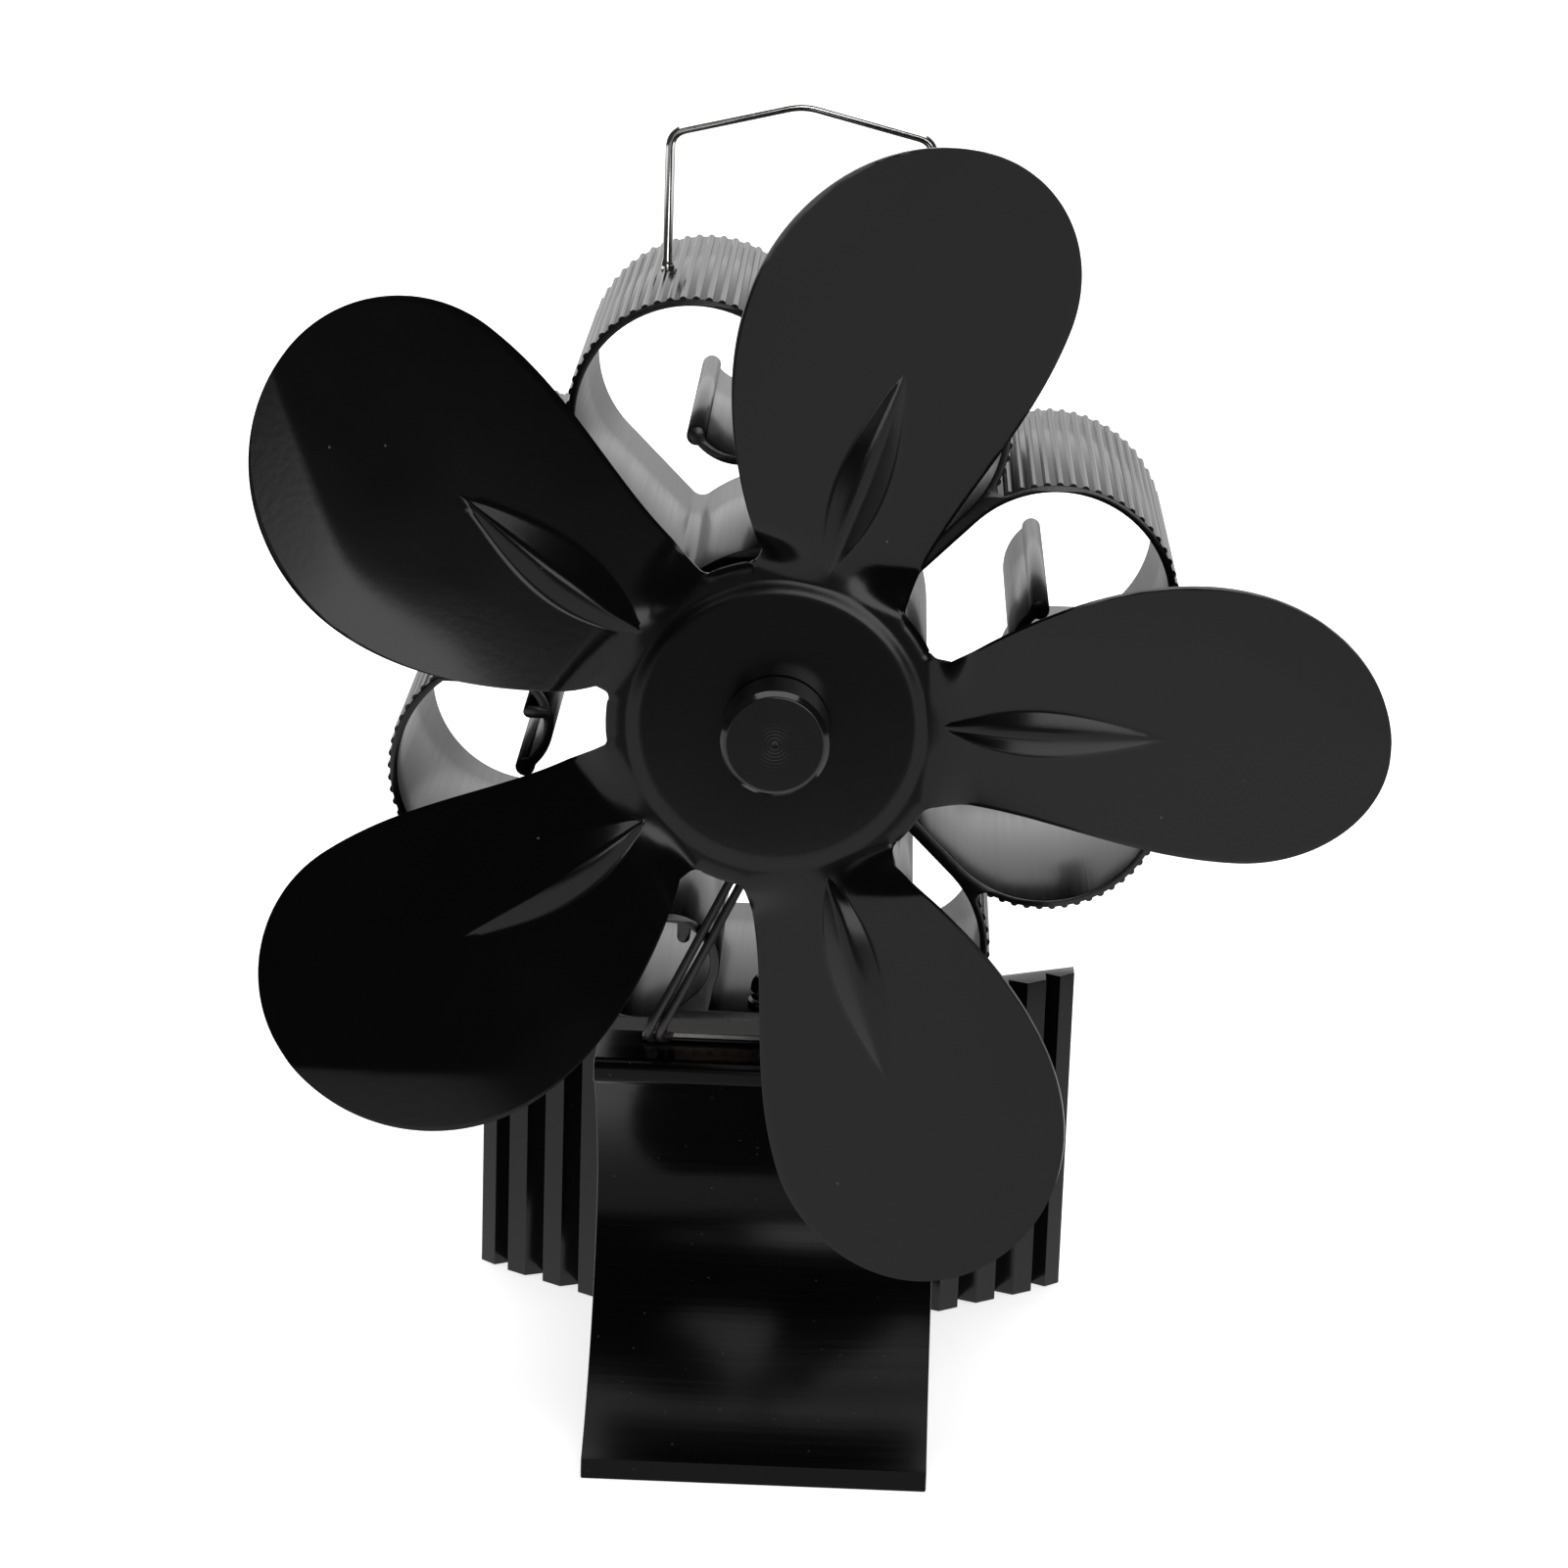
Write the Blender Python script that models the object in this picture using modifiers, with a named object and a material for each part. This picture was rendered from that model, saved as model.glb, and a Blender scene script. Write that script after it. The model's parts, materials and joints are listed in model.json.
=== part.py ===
"""Stove fan: a fan that stands on a hot stove and is driven by its heat.

x runs to the right, y to the back and z up, in metres. The sole lies on z = 0, the cooler's front
face on y = 0, and the fan turns about an axis along y above the origin.
"""

import math

import bmesh
import bpy
from mathutils import Matrix, Vector

MM = 0.001
FIT_GAP = 0.3 * MM
OVERRUN = 2 * MM
WELD_DISTANCE = 0.002 * MM
MERGE_DISTANCE = 0.01 * MM
ROUND_STEPS = 28
SMALL_STEPS = 16
FULL_TURN = 360

# Stand: an extrusion along x, with a curved tongue in front
STAND_WIDTH = 54 * MM
STAND_DEPTH = 55 * MM
STAND_HEIGHT = 65.2 * MM
STAND_WALL = 4 * MM
TOP_PLATE = 4.6 * MM
LIP_THICKNESS = 4.2 * MM
SOLE_THICKNESS = 3.3 * MM
TONGUE_REACH = 13.6 * MM
LIP_REACH = 2 * MM
LIP_ROUND = 1.6 * MM
WAIST_DEPTH = 15 * MM
WAIST_HEIGHT = 36 * MM
TONGUE_HANDLE_SHARES = ((0.44, 0.14), (0.97, 0.57))
THROAT_HANDLE_SHARES = ((0, 0.36), (0.52, 0.68))
CURVE_STEPS = 8

# Rear fin block: an upright extrusion with stepped wings
FIN_HEIGHT = 57 * MM
FIN_HALF_WIDTH = 50.3 * MM
FIN_PLATE = 4 * MM
FIN_WING_WALL = 3.2 * MM
FIN_PITCH = 6.4 * MM
FIN_STEP = 4.3 * MM
FIN_NOSE = 1.4 * MM
FIN_COUNT = 4
FIN_NOSE_SHARE = 0.5
FIN_START = 26.2 * MM
FIN_SETBACK = 5 * MM

# Thermoelectric module and its pads
MODULE_MARGIN = 2.1 * MM
PAD_THICKNESS = 0.25 * MM
CERAMIC_THICKNESS = 0.6 * MM
PELLET_THICKNESS = 0.8 * MM
PELLET_MARGIN = 1 * MM
PELLET_ROWS = 8
PELLET_ROW_SHARE = 0.7

# Cooler: an extrusion along y
COLD_PLATE = 3.8 * MM
PLATE_TO_AXIS = 51.9 * MM
RING_OUTER = 22.2 * MM
RING_WALL = 2 * MM
ARM_THICKNESS = 2.2 * MM
ARM_FILLET = 2 * MM
LOBE_SPREAD = 14.6 * MM
LOBE_REACH = 40.7 * MM
LOBE_WALL = 1.15 * MM
JUNCTION_REACH = 44.5 * MM
RIB_HEIGHT = 0.4 * MM
RIB_PITCH = 1.9 * MM
RIB_TOP_SHARES = (0.3, 0.7)
STEM_THICKNESS = 1.6 * MM
HOOK_WALL = 1.5 * MM
HOOK_BULB = 1.5 * MM
HOOK_TAB = 1 * MM
PETAL_HOOK_ACROSS = 7.2 * MM
PETAL_HOOK_ALONG = 43 * MM
PETAL_HOOK_RADIUS = 8.7 * MM
PETAL_HOOK_END = 326
PETAL_TAB_ACROSS = 5.1 * MM
PETAL_TAB_ALONG = 38 * MM
BASE_HOOK_ACROSS = 16 * MM
BASE_HOOK_ALONG = 44.4 * MM
BASE_HOOK_RADIUS = 8 * MM
BASE_HOOK_START = 155
BASE_HOOK_END = 304
BASE_HOOK_FOOT = 9.6 * MM
BASE_TAB_ACROSS = 13.7 * MM
BASE_TAB_ALONG = 40.1 * MM
BASIN_ACROSS = 20.5 * MM
BASIN_ALONG = 42 * MM

# Bolts that clamp the cooler on the module, and screws of the fin block
BOLT_RADIUS = 1.5 * MM
BOLT_HEAD_RADIUS = 3.2 * MM
BOLT_HEAD_HEIGHT = 2.4 * MM
BOLT_INSET = 3.9 * MM
BOLT_END = 1.2 * MM
WASHER_RADIUS = 3.6 * MM
WASHER_THICKNESS = 0.6 * MM
LOCK_WASHER_RADIUS = 3.1 * MM
LOCK_WASHER_THICKNESS = 0.9 * MM
LOCK_WASHER_SPLIT = 0.7 * MM
SCREW_RADIUS = 2 * MM
SCREW_HEAD_RADIUS = 3.6 * MM
SCREW_HEAD_HEIGHT = 2.2 * MM
SCREW_SPREAD = 14 * MM
SCREW_HEIGHT = 30 * MM
HEX_SOCKET_SHARE = 0.5
DOME_ANGLES = (57, 34, 14)
SOCKET_DEPTH_SHARE = 0.55

# Motor
MOTOR_RADIUS = 15.8 * MM
MOTOR_LENGTH = 25 * MM
MOTOR_WALL = 0.9 * MM
MOTOR_CAP = 2 * MM
MOTOR_BOSS_RADIUS = 3.6 * MM
MOTOR_BOSS_LENGTH = 2.4 * MM
STRAP_INSET = 4 * MM
STRAP_THICKNESS = 1.5 * MM
STRAP_HEIGHT = 14 * MM
MOTOR_SCREW_SPREAD = 8.5 * MM
MOTOR_SCREW_RADIUS = 1.25 * MM
MOTOR_SCREW_HEAD = 2.3 * MM
MOTOR_SCREW_HEAD_HEIGHT = 1.3 * MM
MOTOR_SCREW_LENGTH = 3.4 * MM
MAGNET_THICKNESS = 3.6 * MM
MAGNET_LENGTH = 15 * MM
MAGNET_INSET = 3 * MM
MAGNET_HALF_ANGLE = 62
ARMATURE_GAP = 0.6 * MM
ARMATURE_LENGTH = 13 * MM
ARMATURE_CORE_RADIUS = 4.2 * MM
ARMATURE_SLOTS = 3
ARMATURE_SLOT_SHARE = 0.16
ARMATURE_NECK_SHARE = 0.42
ARMATURE_FLANGE_SHARE = 0.72
COMMUTATOR_RADIUS = 2.8 * MM
COMMUTATOR_LENGTH = 3.2 * MM
BRUSH_WIDTH = 2 * MM
BRUSH_LENGTH = 3.2 * MM
BEARING_WALL = 1.2 * MM
BEARING_LENGTH = 2.6 * MM
TERMINAL_SPREAD = 5 * MM
TERMINAL_DROP = 8 * MM
TERMINAL_WIDTH = 2.4 * MM
TERMINAL_LENGTH = 4.2 * MM
TERMINAL_THICKNESS = 0.5 * MM

# Rotor: one pressed sheet with five blades, on a bush and under a knob
SHAFT_RADIUS = 1.5 * MM
ROTOR_RADIUS = 90.5 * MM
ROTOR_DEPTH = 21 * MM
SHEET = 0.8 * MM
BLADE_COUNT = 5
BLADE_START = -2
HUB_RADIUS = 22.5 * MM
HUB_RISE = 3.6 * MM
HUB_FLAT_SHARE = 0.62
HUB_FILLET = 2.6 * MM
FILLET_ROW_SHARES = (0.15, 0.5, 1)
WIDE_ROOT = 10.4 * MM
WIDE_REACH = 27 * MM
WIDE_PLACE = 58 * MM
SLIM_ROOT = 7.2 * MM
SLIM_REACH = 17.5 * MM
SLIM_PLACE = 66 * MM
BLADE_PITCH = 21
PITCH_START = 20 * MM
PITCH_FULL = 46 * MM
ROLL_WIDTH = 11 * MM
ROLL_DROP = 2.6 * MM
BLADE_ROWS = 10
EMBOSS_START = 24 * MM
EMBOSS_END = 57 * MM
EMBOSS_HALF_WIDTH = 3.4 * MM
EMBOSS_HEIGHT = 2 * MM
EMBOSS_EDGE_SHARE = 0.35
SLIM_COLUMN_SHARES = (1, 0.75, 0.4)
WIDE_COLUMN_SHARES = (0.3, 0.6, 0.85, 1)
GAP_COLUMNS = 2
HUB_ROW_SHARES = (0.45, 0.62, 0.78, 1)
BUSH_RADIUS = 4.6 * MM
BUSH_FLANGE_RADIUS = 7.4 * MM
BUSH_FLANGE = 2 * MM
BUSH_LENGTH = 12 * MM
BUSH_NOSE_RADIUS = 3.2 * MM
BUSH_NOSE = 2.4 * MM
KNOB_RADIUS = 7.9 * MM
KNOB_LENGTH = 5.8 * MM
KNOB_CHAMFER = 0.8 * MM

# Handle and leads
HANDLE_RADIUS = 0.75 * MM
HANDLE_SPREAD = 20.1 * MM
HANDLE_DEPTH = 28.6 * MM
HANDLE_SHOULDER = 79.5 * MM
HANDLE_APEX = 84.4 * MM
HANDLE_BEND = 2.4 * MM
HANDLE_TAIL = 3.2 * MM
LEAD_RADIUS = 0.7 * MM
LEAD_STEPS = 3
LEAD_START_ACROSS = 17.6 * MM
LEAD_PAIR = 1.8 * MM
LEAD_INNER_ACROSS = -3.2 * MM
LEAD_OUTER_ACROSS = -1.3 * MM
LEAD_FLARE = 1 * MM
LEAD_STAND_OFF = 2.2 * MM
LEAD_TURN = 4.7 * MM
LEAD_ROUTE_SHARES = (0, 0.22, 0.46, 0.68, 0.85, 1)
LEAD_FRONT_SHARES = (0.1, 1)
LEAD_BACK_SHARES = (0.6, 1)

# Finishes: colour, roughness, metallic
BLACK_ANODISED = ((0.015, 0.015, 0.017), 0.35, 0.9)
BLACK_PAINT = ((0.012, 0.012, 0.013), 0.3, 0.2)
BLACK_STEEL = ((0.02, 0.02, 0.022), 0.3, 0.9)
POLISHED_STEEL = ((0.62, 0.61, 0.6), 0.12, 1)
PLATED_STEEL = ((0.55, 0.55, 0.54), 0.3, 1)
GRAPHITE = ((0.05, 0.05, 0.055), 0.7, 0.1)
CERAMIC = ((0.85, 0.85, 0.82), 0.5, 0)
BRONZE = ((0.6, 0.4, 0.2), 0.4, 1)
COPPER = ((0.75, 0.36, 0.2), 0.3, 1)
FERRITE = ((0.06, 0.06, 0.065), 0.6, 0)
DARK_NYLON = ((0.03, 0.03, 0.03), 0.5, 0)
BLACK_SLEEVE = ((0.014, 0.014, 0.015), 0.45, 0)

# Places that follow from the sizes
COOLER_DEPTH = STAND_DEPTH
BOLT_REACH = BOLT_INSET + BOLT_RADIUS
MODULE_SIDE = STAND_DEPTH - 2 * (BOLT_REACH + MODULE_MARGIN)
FIN_START_DEPTH = STAND_DEPTH + FIN_SETBACK
MODULE_STACK = 2 * PAD_THICKNESS + 2 * CERAMIC_THICKNESS + PELLET_THICKNESS + 6 * FIT_GAP
PLATE_BOTTOM = STAND_HEIGHT + MODULE_STACK
PLATE_TOP = PLATE_BOTTOM + COLD_PLATE
AXIS_HEIGHT = PLATE_TOP + PLATE_TO_AXIS
RING_INNER = RING_OUTER - RING_WALL
LOBE_INNER = (LOBE_REACH - LOBE_SPREAD) / math.sqrt(2) - ARM_THICKNESS / 2
LOBE_OUTER = LOBE_INNER + LOBE_WALL
BOLT_PLACES = {"front": BOLT_INSET, "rear": COOLER_DEPTH - BOLT_INSET}
MOTOR_FRONT = STRAP_INSET + STRAP_THICKNESS + FIT_GAP
MOTOR_BACK = MOTOR_FRONT + MOTOR_LENGTH
SHEET_FRONT = ROTOR_DEPTH + HUB_RISE
FACE_BACK = (math.pi / 2, 0, 0)


def new_collection(name):
    collection = bpy.data.collections.new(name)
    bpy.context.scene.collection.children.link(collection)
    return collection


def clear_scene():
    for old in list(bpy.data.objects):
        bpy.data.objects.remove(old, do_unlink=True)


def finish(obj, look):
    """A material of the piece's own, with its colour, roughness and metallic value."""
    colour, roughness, metallic = look
    material = bpy.data.materials.new(obj.name)
    material.use_nodes = True
    shader = material.node_tree.nodes["Principled BSDF"]
    shader.inputs["Base Color"].default_value = (*colour, 1)
    shader.inputs["Roughness"].default_value = roughness
    shader.inputs["Metallic"].default_value = metallic
    obj.data.materials.clear()
    obj.data.materials.append(material)


def place(name, mesh, look, location=(0, 0, 0), rotation=(0, 0, 0), parent=None):
    obj = bpy.data.objects.new(name, mesh)
    obj.location = location
    obj.rotation_euler = rotation
    obj.parent = parent
    parts.objects.link(obj)
    finish(obj, look)
    mesh.shade_smooth()
    mesh.set_sharp_from_angle(angle=math.radians(32))
    return obj


def mesh_of(curve_object, unit):
    """The curve, drawn in the given unit, as a closed mesh in metres with its caps welded on."""
    bpy.context.view_layer.update()
    graph = bpy.context.evaluated_depsgraph_get()
    mesh = bpy.data.meshes.new_from_object(curve_object.evaluated_get(graph))
    bpy.data.objects.remove(curve_object, do_unlink=True)
    shape = bmesh.new()
    shape.from_mesh(mesh)
    bmesh.ops.remove_doubles(shape, verts=shape.verts, dist=WELD_DISTANCE / unit)
    bmesh.ops.recalc_face_normals(shape, faces=shape.faces)
    bmesh.ops.scale(shape, vec=(unit, unit, unit), verts=shape.verts)
    shape.to_mesh(mesh)
    shape.free()
    return mesh


def extruded(outlines, thickness):
    """A mesh of flat outlines in local xy, filled between them and as thick along z.

    The sketch is drawn in millimetres, because a fill loses details a few hundredths wide.
    """
    curve = bpy.data.curves.new("outline", "CURVE")
    curve.dimensions = "2D"
    curve.fill_mode = "BOTH"
    curve.extrude = thickness / MM / 2
    for points in outlines:
        spline = curve.splines.new("POLY")
        spline.points.add(len(points) - 1)
        spline.use_cyclic_u = True
        for slot, (across, along) in zip(spline.points, points):
            slot.co = (across / MM, along / MM, 0, 1)
    holder = bpy.data.objects.new("outline", curve)
    parts.objects.link(holder)
    return mesh_of(holder, MM)


def wire(points, radius, resolution=2):
    """A mesh of one round wire through the points, with its ends closed."""
    curve = bpy.data.curves.new("wire", "CURVE")
    curve.dimensions = "3D"
    curve.bevel_depth = radius
    curve.bevel_resolution = resolution
    curve.use_fill_caps = True
    spline = curve.splines.new("POLY")
    spline.points.add(len(points) - 1)
    for slot, point in zip(spline.points, points):
        slot.co = (*point, 1)
    holder = bpy.data.objects.new("wire", curve)
    parts.objects.link(holder)
    return mesh_of(holder, 1)


def turned(name, profile, look, closed=False, steps=ROUND_STEPS, parent=None, centre=(0, 0, 0)):
    """A piece turned about y. Its profile lists (radius, y), front first, down the outer side."""
    mesh = bpy.data.meshes.new(name)
    points = [(radius, 0, -depth) for radius, depth in profile]
    edges = [(i, i + 1) for i in range(len(points) - 1)]
    if closed:
        edges.append((len(points) - 1, 0))
    mesh.from_pydata(points, edges, [])
    obj = bpy.data.objects.new(name, mesh)
    obj.location = centre
    obj.rotation_euler = FACE_BACK
    obj.parent = parent
    parts.objects.link(obj)
    screw = obj.modifiers.new("turn", "SCREW")
    screw.steps = steps
    screw.render_steps = steps
    screw.use_merge_vertices = True
    screw.merge_threshold = MERGE_DISTANCE
    screw.use_smooth_shade = True
    finish(obj, look)
    return obj


def ring_profile(inner, outer, front, back):
    return [(inner, front), (outer, front), (outer, back), (inner, back)]


def box(name, size, centre, look, parent=None):
    mesh = bpy.data.meshes.new(name)
    shape = bmesh.new()
    bmesh.ops.create_cube(shape, size=1, matrix=Matrix.Diagonal((*size, 1)))
    shape.to_mesh(mesh)
    shape.free()
    return place(name, mesh, look, location=centre, parent=parent)


def cylinder_cutter(name, radius, length, centre, rotation=(0, 0, 0), sides=24):
    mesh = bpy.data.meshes.new(name)
    shape = bmesh.new()
    bmesh.ops.create_cone(
        shape, cap_ends=True, segments=sides, radius1=radius, radius2=radius, depth=length
    )
    shape.to_mesh(mesh)
    shape.free()
    obj = bpy.data.objects.new(name, mesh)
    obj.location = centre
    obj.rotation_euler = rotation
    obj.hide_render = True
    obj.display_type = "WIRE"
    cutters.objects.link(obj)
    return obj


def cut(obj, cutter):
    modifier = obj.modifiers.new(cutter.name, "BOOLEAN")
    modifier.operation = "DIFFERENCE"
    modifier.object = cutter


def arc(centre, radius, start, end, count):
    """Points along an arc, both ends included, with its angles in degrees."""
    angles = [math.radians(start + (end - start) * i / count) for i in range(count + 1)]
    return [(centre[0] + radius * math.cos(a), centre[1] + radius * math.sin(a)) for a in angles]


def bezier(start, first, second, end, count):
    """Points along a cubic curve, both ends included."""
    found = []
    for i in range(count + 1):
        t = i / count
        weights = ((1 - t) ** 3, 3 * t * (1 - t) ** 2, 3 * t**2 * (1 - t), t**3)
        corners = (start, first, second, end)
        found.append(tuple(sum(w * c[k] for w, c in zip(weights, corners)) for k in (0, 1)))
    return found


def offset(points, distance):
    """The open path moved sideways, to the right of its own direction."""
    moved = []
    for i, (x, y) in enumerate(points):
        before = points[max(i - 1, 0)]
        after = points[min(i + 1, len(points) - 1)]
        run = Vector((after[0] - before[0], after[1] - before[1])).normalized()
        moved.append((x + run.y * distance, y - run.x * distance))
    return moved


def bearing(centre, point):
    """The angle in degrees at which the point is seen from the centre."""
    return math.degrees(math.atan2(point[1] - centre[1], point[0] - centre[0])) % FULL_TURN


def circles_meet(first, first_radius, second, second_radius, side):
    """Where two circles cross, on the given side (1 or -1) of the line between their centres."""
    a, b = Vector(first), Vector(second)
    reach = (b - a).length
    along = (first_radius**2 - second_radius**2 + reach**2) / (2 * reach)
    across = math.sqrt(max(first_radius**2 - along**2, 0))
    run = (b - a) / reach
    met = a + run * along + Vector((-run.y, run.x)) * across * side
    return met.x, met.y


def mirrored(half):
    """A half outline joined by its mirror image. A point on the centre line is kept once."""
    return half + [(-across, along) for across, along in reversed(half) if across > WELD_DISTANCE]


def turn_outline(points, quarter_turns):
    """The outline turned counter-clockwise by quarter turns, as seen from the front."""
    for _ in range(quarter_turns):
        points = [(-along, across) for across, along in points]
    return points


# Stand


def tongue_curve():
    """The front of the stand in side view, (y, z), from the foot's top edge up to the lip."""
    foot = (-TONGUE_REACH, SOLE_THICKNESS)
    waist = (WAIST_DEPTH, WAIST_HEIGHT)
    lip = (0, STAND_HEIGHT - LIP_THICKNESS)

    def between(start, end, shares):
        return tuple(a + (b - a) * share for a, b, share in zip(start, end, shares))

    lower = [between(foot, waist, shares) for shares in TONGUE_HANDLE_SHARES]
    upper = [between(waist, lip, shares) for shares in THROAT_HANDLE_SHARES]
    rising = bezier(foot, *lower, waist, CURVE_STEPS)
    return rising + bezier(waist, *upper, lip, CURVE_STEPS)[1:]


def base_bracket():
    front = tongue_curve()
    lip_top = (-LIP_REACH + LIP_ROUND, STAND_HEIGHT - LIP_ROUND)
    lip_low = (-LIP_REACH + LIP_ROUND, STAND_HEIGHT - LIP_THICKNESS + LIP_ROUND)
    outline = [(-TONGUE_REACH, 0), *front]
    outline += arc(lip_low, LIP_ROUND, 270, 180, 4) + arc(lip_top, LIP_ROUND, 180, 90, 4)
    outline += [(STAND_DEPTH, STAND_HEIGHT), (STAND_DEPTH, 0)]
    floor, ceiling = SOLE_THICKNESS, STAND_HEIGHT - TOP_PLATE
    back = STAND_DEPTH - STAND_WALL
    inner = [p for p in offset(front, STAND_WALL) if floor < p[1] < ceiling]
    hollow = [(inner[0][0], floor), *inner, (inner[-1][0], ceiling), (back, ceiling), (back, floor)]
    mesh = extruded([outline, hollow], STAND_WIDTH)
    mesh.transform(Matrix(((0, 0, 1, 0), (1, 0, 0, 0), (0, 1, 0, 0), (0, 0, 0, 1))))
    obj = place("base_bracket", mesh, BLACK_ANODISED)
    for end, depth in BOLT_PLACES.items():
        centre = (0, depth, STAND_HEIGHT)
        cutter = f"bracket_hole_{end}"
        cut(obj, cylinder_cutter(cutter, BOLT_RADIUS + FIT_GAP, 2 * TOP_PLATE + OVERRUN, centre))
    for side, across in (("left", -SCREW_SPREAD), ("right", SCREW_SPREAD)):
        centre = (across, STAND_DEPTH, SCREW_HEIGHT)
        length = 2 * STAND_WALL + OVERRUN
        name = f"bracket_screw_hole_{side}"
        cut(obj, cylinder_cutter(name, SCREW_RADIUS + FIT_GAP, length, centre, FACE_BACK))


def rear_fin_block():
    """Plan outline (x, y): a flat plate behind the stand and a stepped wing on each side."""
    plate_front = STAND_DEPTH + FIT_GAP
    half = [(FIN_START - FIN_WING_WALL, plate_front)]
    half.append((FIN_START, plate_front + FIN_WING_WALL))
    for i in range(FIN_COUNT):
        left = FIN_START + i * FIN_PITCH
        valley = FIN_START_DEPTH + i * FIN_STEP
        right = min(left + FIN_PITCH, FIN_HALF_WIDTH)
        nose = left + (right - left) * FIN_NOSE_SHARE
        slope = FIN_STEP * FIN_NOSE_SHARE
        half += [(left, valley), (nose, valley - FIN_NOSE), (right, valley - FIN_NOSE + slope)]
    end_depth = FIN_START_DEPTH + FIN_COUNT * FIN_STEP
    half.append((FIN_HALF_WIDTH, end_depth))
    corner = FIN_START - FIN_PLATE
    half.append((corner, FIN_START_DEPTH + FIN_WING_WALL))
    half.append((corner - FIN_PLATE, plate_front + FIN_PLATE))
    mesh = extruded([mirrored(half)], FIN_HEIGHT)
    obj = place("rear_fin_block", mesh, BLACK_ANODISED, location=(0, 0, FIN_HEIGHT / 2))
    for side, across in (("left", -SCREW_SPREAD), ("right", SCREW_SPREAD)):
        centre = (across, plate_front, SCREW_HEIGHT)
        length = 2 * FIN_PLATE + OVERRUN
        name = f"fin_screw_hole_{side}"
        cut(obj, cylinder_cutter(name, SCREW_RADIUS + FIT_GAP, length, centre, FACE_BACK))


def button_head(radius, head_radius, head_height, length):
    """Profile of a socket screw whose head's underside is at y = 0 and whose shank runs back."""
    socket = head_radius * HEX_SOCKET_SHARE
    depth = head_height * SOCKET_DEPTH_SHARE
    angles = [math.radians(angle) for angle in DOME_ANGLES]
    dome = [(head_radius * math.cos(a), -head_height * math.sin(a)) for a in angles]
    profile = [(0, depth - head_height), (socket, depth - head_height), (socket, dome[0][1])]
    profile += [*dome, (head_radius, 0), (radius, 0), (radius, length), (0, length)]
    return profile


def fin_screws():
    head_seat = STAND_DEPTH + FIT_GAP + FIN_PLATE + FIT_GAP
    length = head_seat - STAND_DEPTH + STAND_WALL
    profile = button_head(SCREW_RADIUS, SCREW_HEAD_RADIUS, SCREW_HEAD_HEIGHT, length)
    for side, across in (("left", -SCREW_SPREAD), ("right", SCREW_SPREAD)):
        obj = turned(f"fin_block_screw_{side}", profile, BLACK_STEEL, steps=SMALL_STEPS)
        obj.location = (across, head_seat, SCREW_HEIGHT)
        obj.rotation_euler = (-math.pi / 2, 0, 0)


# Module


def module():
    """The module's layers, from the stand's top plate up to the cooler's cold plate."""
    side = MODULE_SIDE
    middle = STAND_DEPTH / 2
    layers = (
        ("thermal_pad_lower", PAD_THICKNESS, GRAPHITE),
        ("module_hot_plate", CERAMIC_THICKNESS, CERAMIC),
        ("module_pellets", PELLET_THICKNESS, COPPER),
        ("module_cold_plate", CERAMIC_THICKNESS, CERAMIC),
        ("thermal_pad_upper", PAD_THICKNESS, GRAPHITE),
    )
    level = STAND_HEIGHT + FIT_GAP
    for name, thickness, look in layers:
        centre = (0, middle, level + thickness / 2)
        if name == "module_pellets":
            place(name, extruded([pellet_chain()], thickness), look, location=centre)
        else:
            box(name, (side, side, thickness), centre, look)
        level += thickness + FIT_GAP


def pellet_chain():
    """The chain of pellets as one winding strip, its rows along x."""
    reach = MODULE_SIDE / 2 - PELLET_MARGIN
    pitch = 2 * reach / PELLET_ROWS
    half = pitch * PELLET_ROW_SHARE / 2
    line = []
    for row in range(PELLET_ROWS):
        level = -reach + half + row * pitch
        ends = [Vector((-reach + half, level)), Vector((reach - half, level))]
        line += ends if row % 2 == 0 else ends[::-1]
    runs = [(after - before).normalized() for before, after in zip(line, line[1:])]
    sides = []
    for side in (1, -1):
        edge = []
        for i, spot in enumerate(line):
            nearest = {max(i - 1, 0), min(i, len(runs) - 1)}
            swing = sum((Vector((-runs[k].y, runs[k].x)) for k in nearest), Vector((0, 0)))
            edge.append(tuple(spot + swing * half * side))
        sides.append(edge)
    return sides[0] + sides[1][::-1]


# Cooler


def hook(centre, radius, start, end, tab, finish_angle):
    """A curled hook: its outer side, the bulb at its end, and its inner side with a small tab."""
    inner = radius - HOOK_WALL
    middle = radius - HOOK_WALL / 2
    bulb = arc(centre, middle, end, end, 1)[0]

    def bulb_edge(reach):
        swing = (reach**2 + middle**2 - HOOK_BULB**2) / (2 * reach * middle)
        return end - math.degrees(math.acos(swing))

    outer_stop, inner_stop = bulb_edge(radius), bulb_edge(inner)
    leave = arc(centre, radius, outer_stop, outer_stop, 1)[0]
    rejoin = arc(centre, inner, inner_stop, inner_stop, 1)[0]
    round_start = bearing(bulb, leave)
    round_end = bearing(bulb, rejoin)
    if round_end < round_start:
        round_end += FULL_TURN

    def tab_foot(across):
        return FULL_TURN - math.degrees(math.acos((across - centre[0]) / inner))

    path = arc(centre, radius, start, outer_stop, 9)
    path += arc(bulb, HOOK_BULB, round_start, round_end, 6)[1:-1]
    path += arc(centre, inner, inner_stop, tab_foot(tab[0] + HOOK_TAB), 5)
    path += arc(tab, HOOK_TAB, 0, 180, 4)
    path += arc(centre, inner, tab_foot(tab[0] - HOOK_TAB), finish_angle, 5)
    return path


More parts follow.
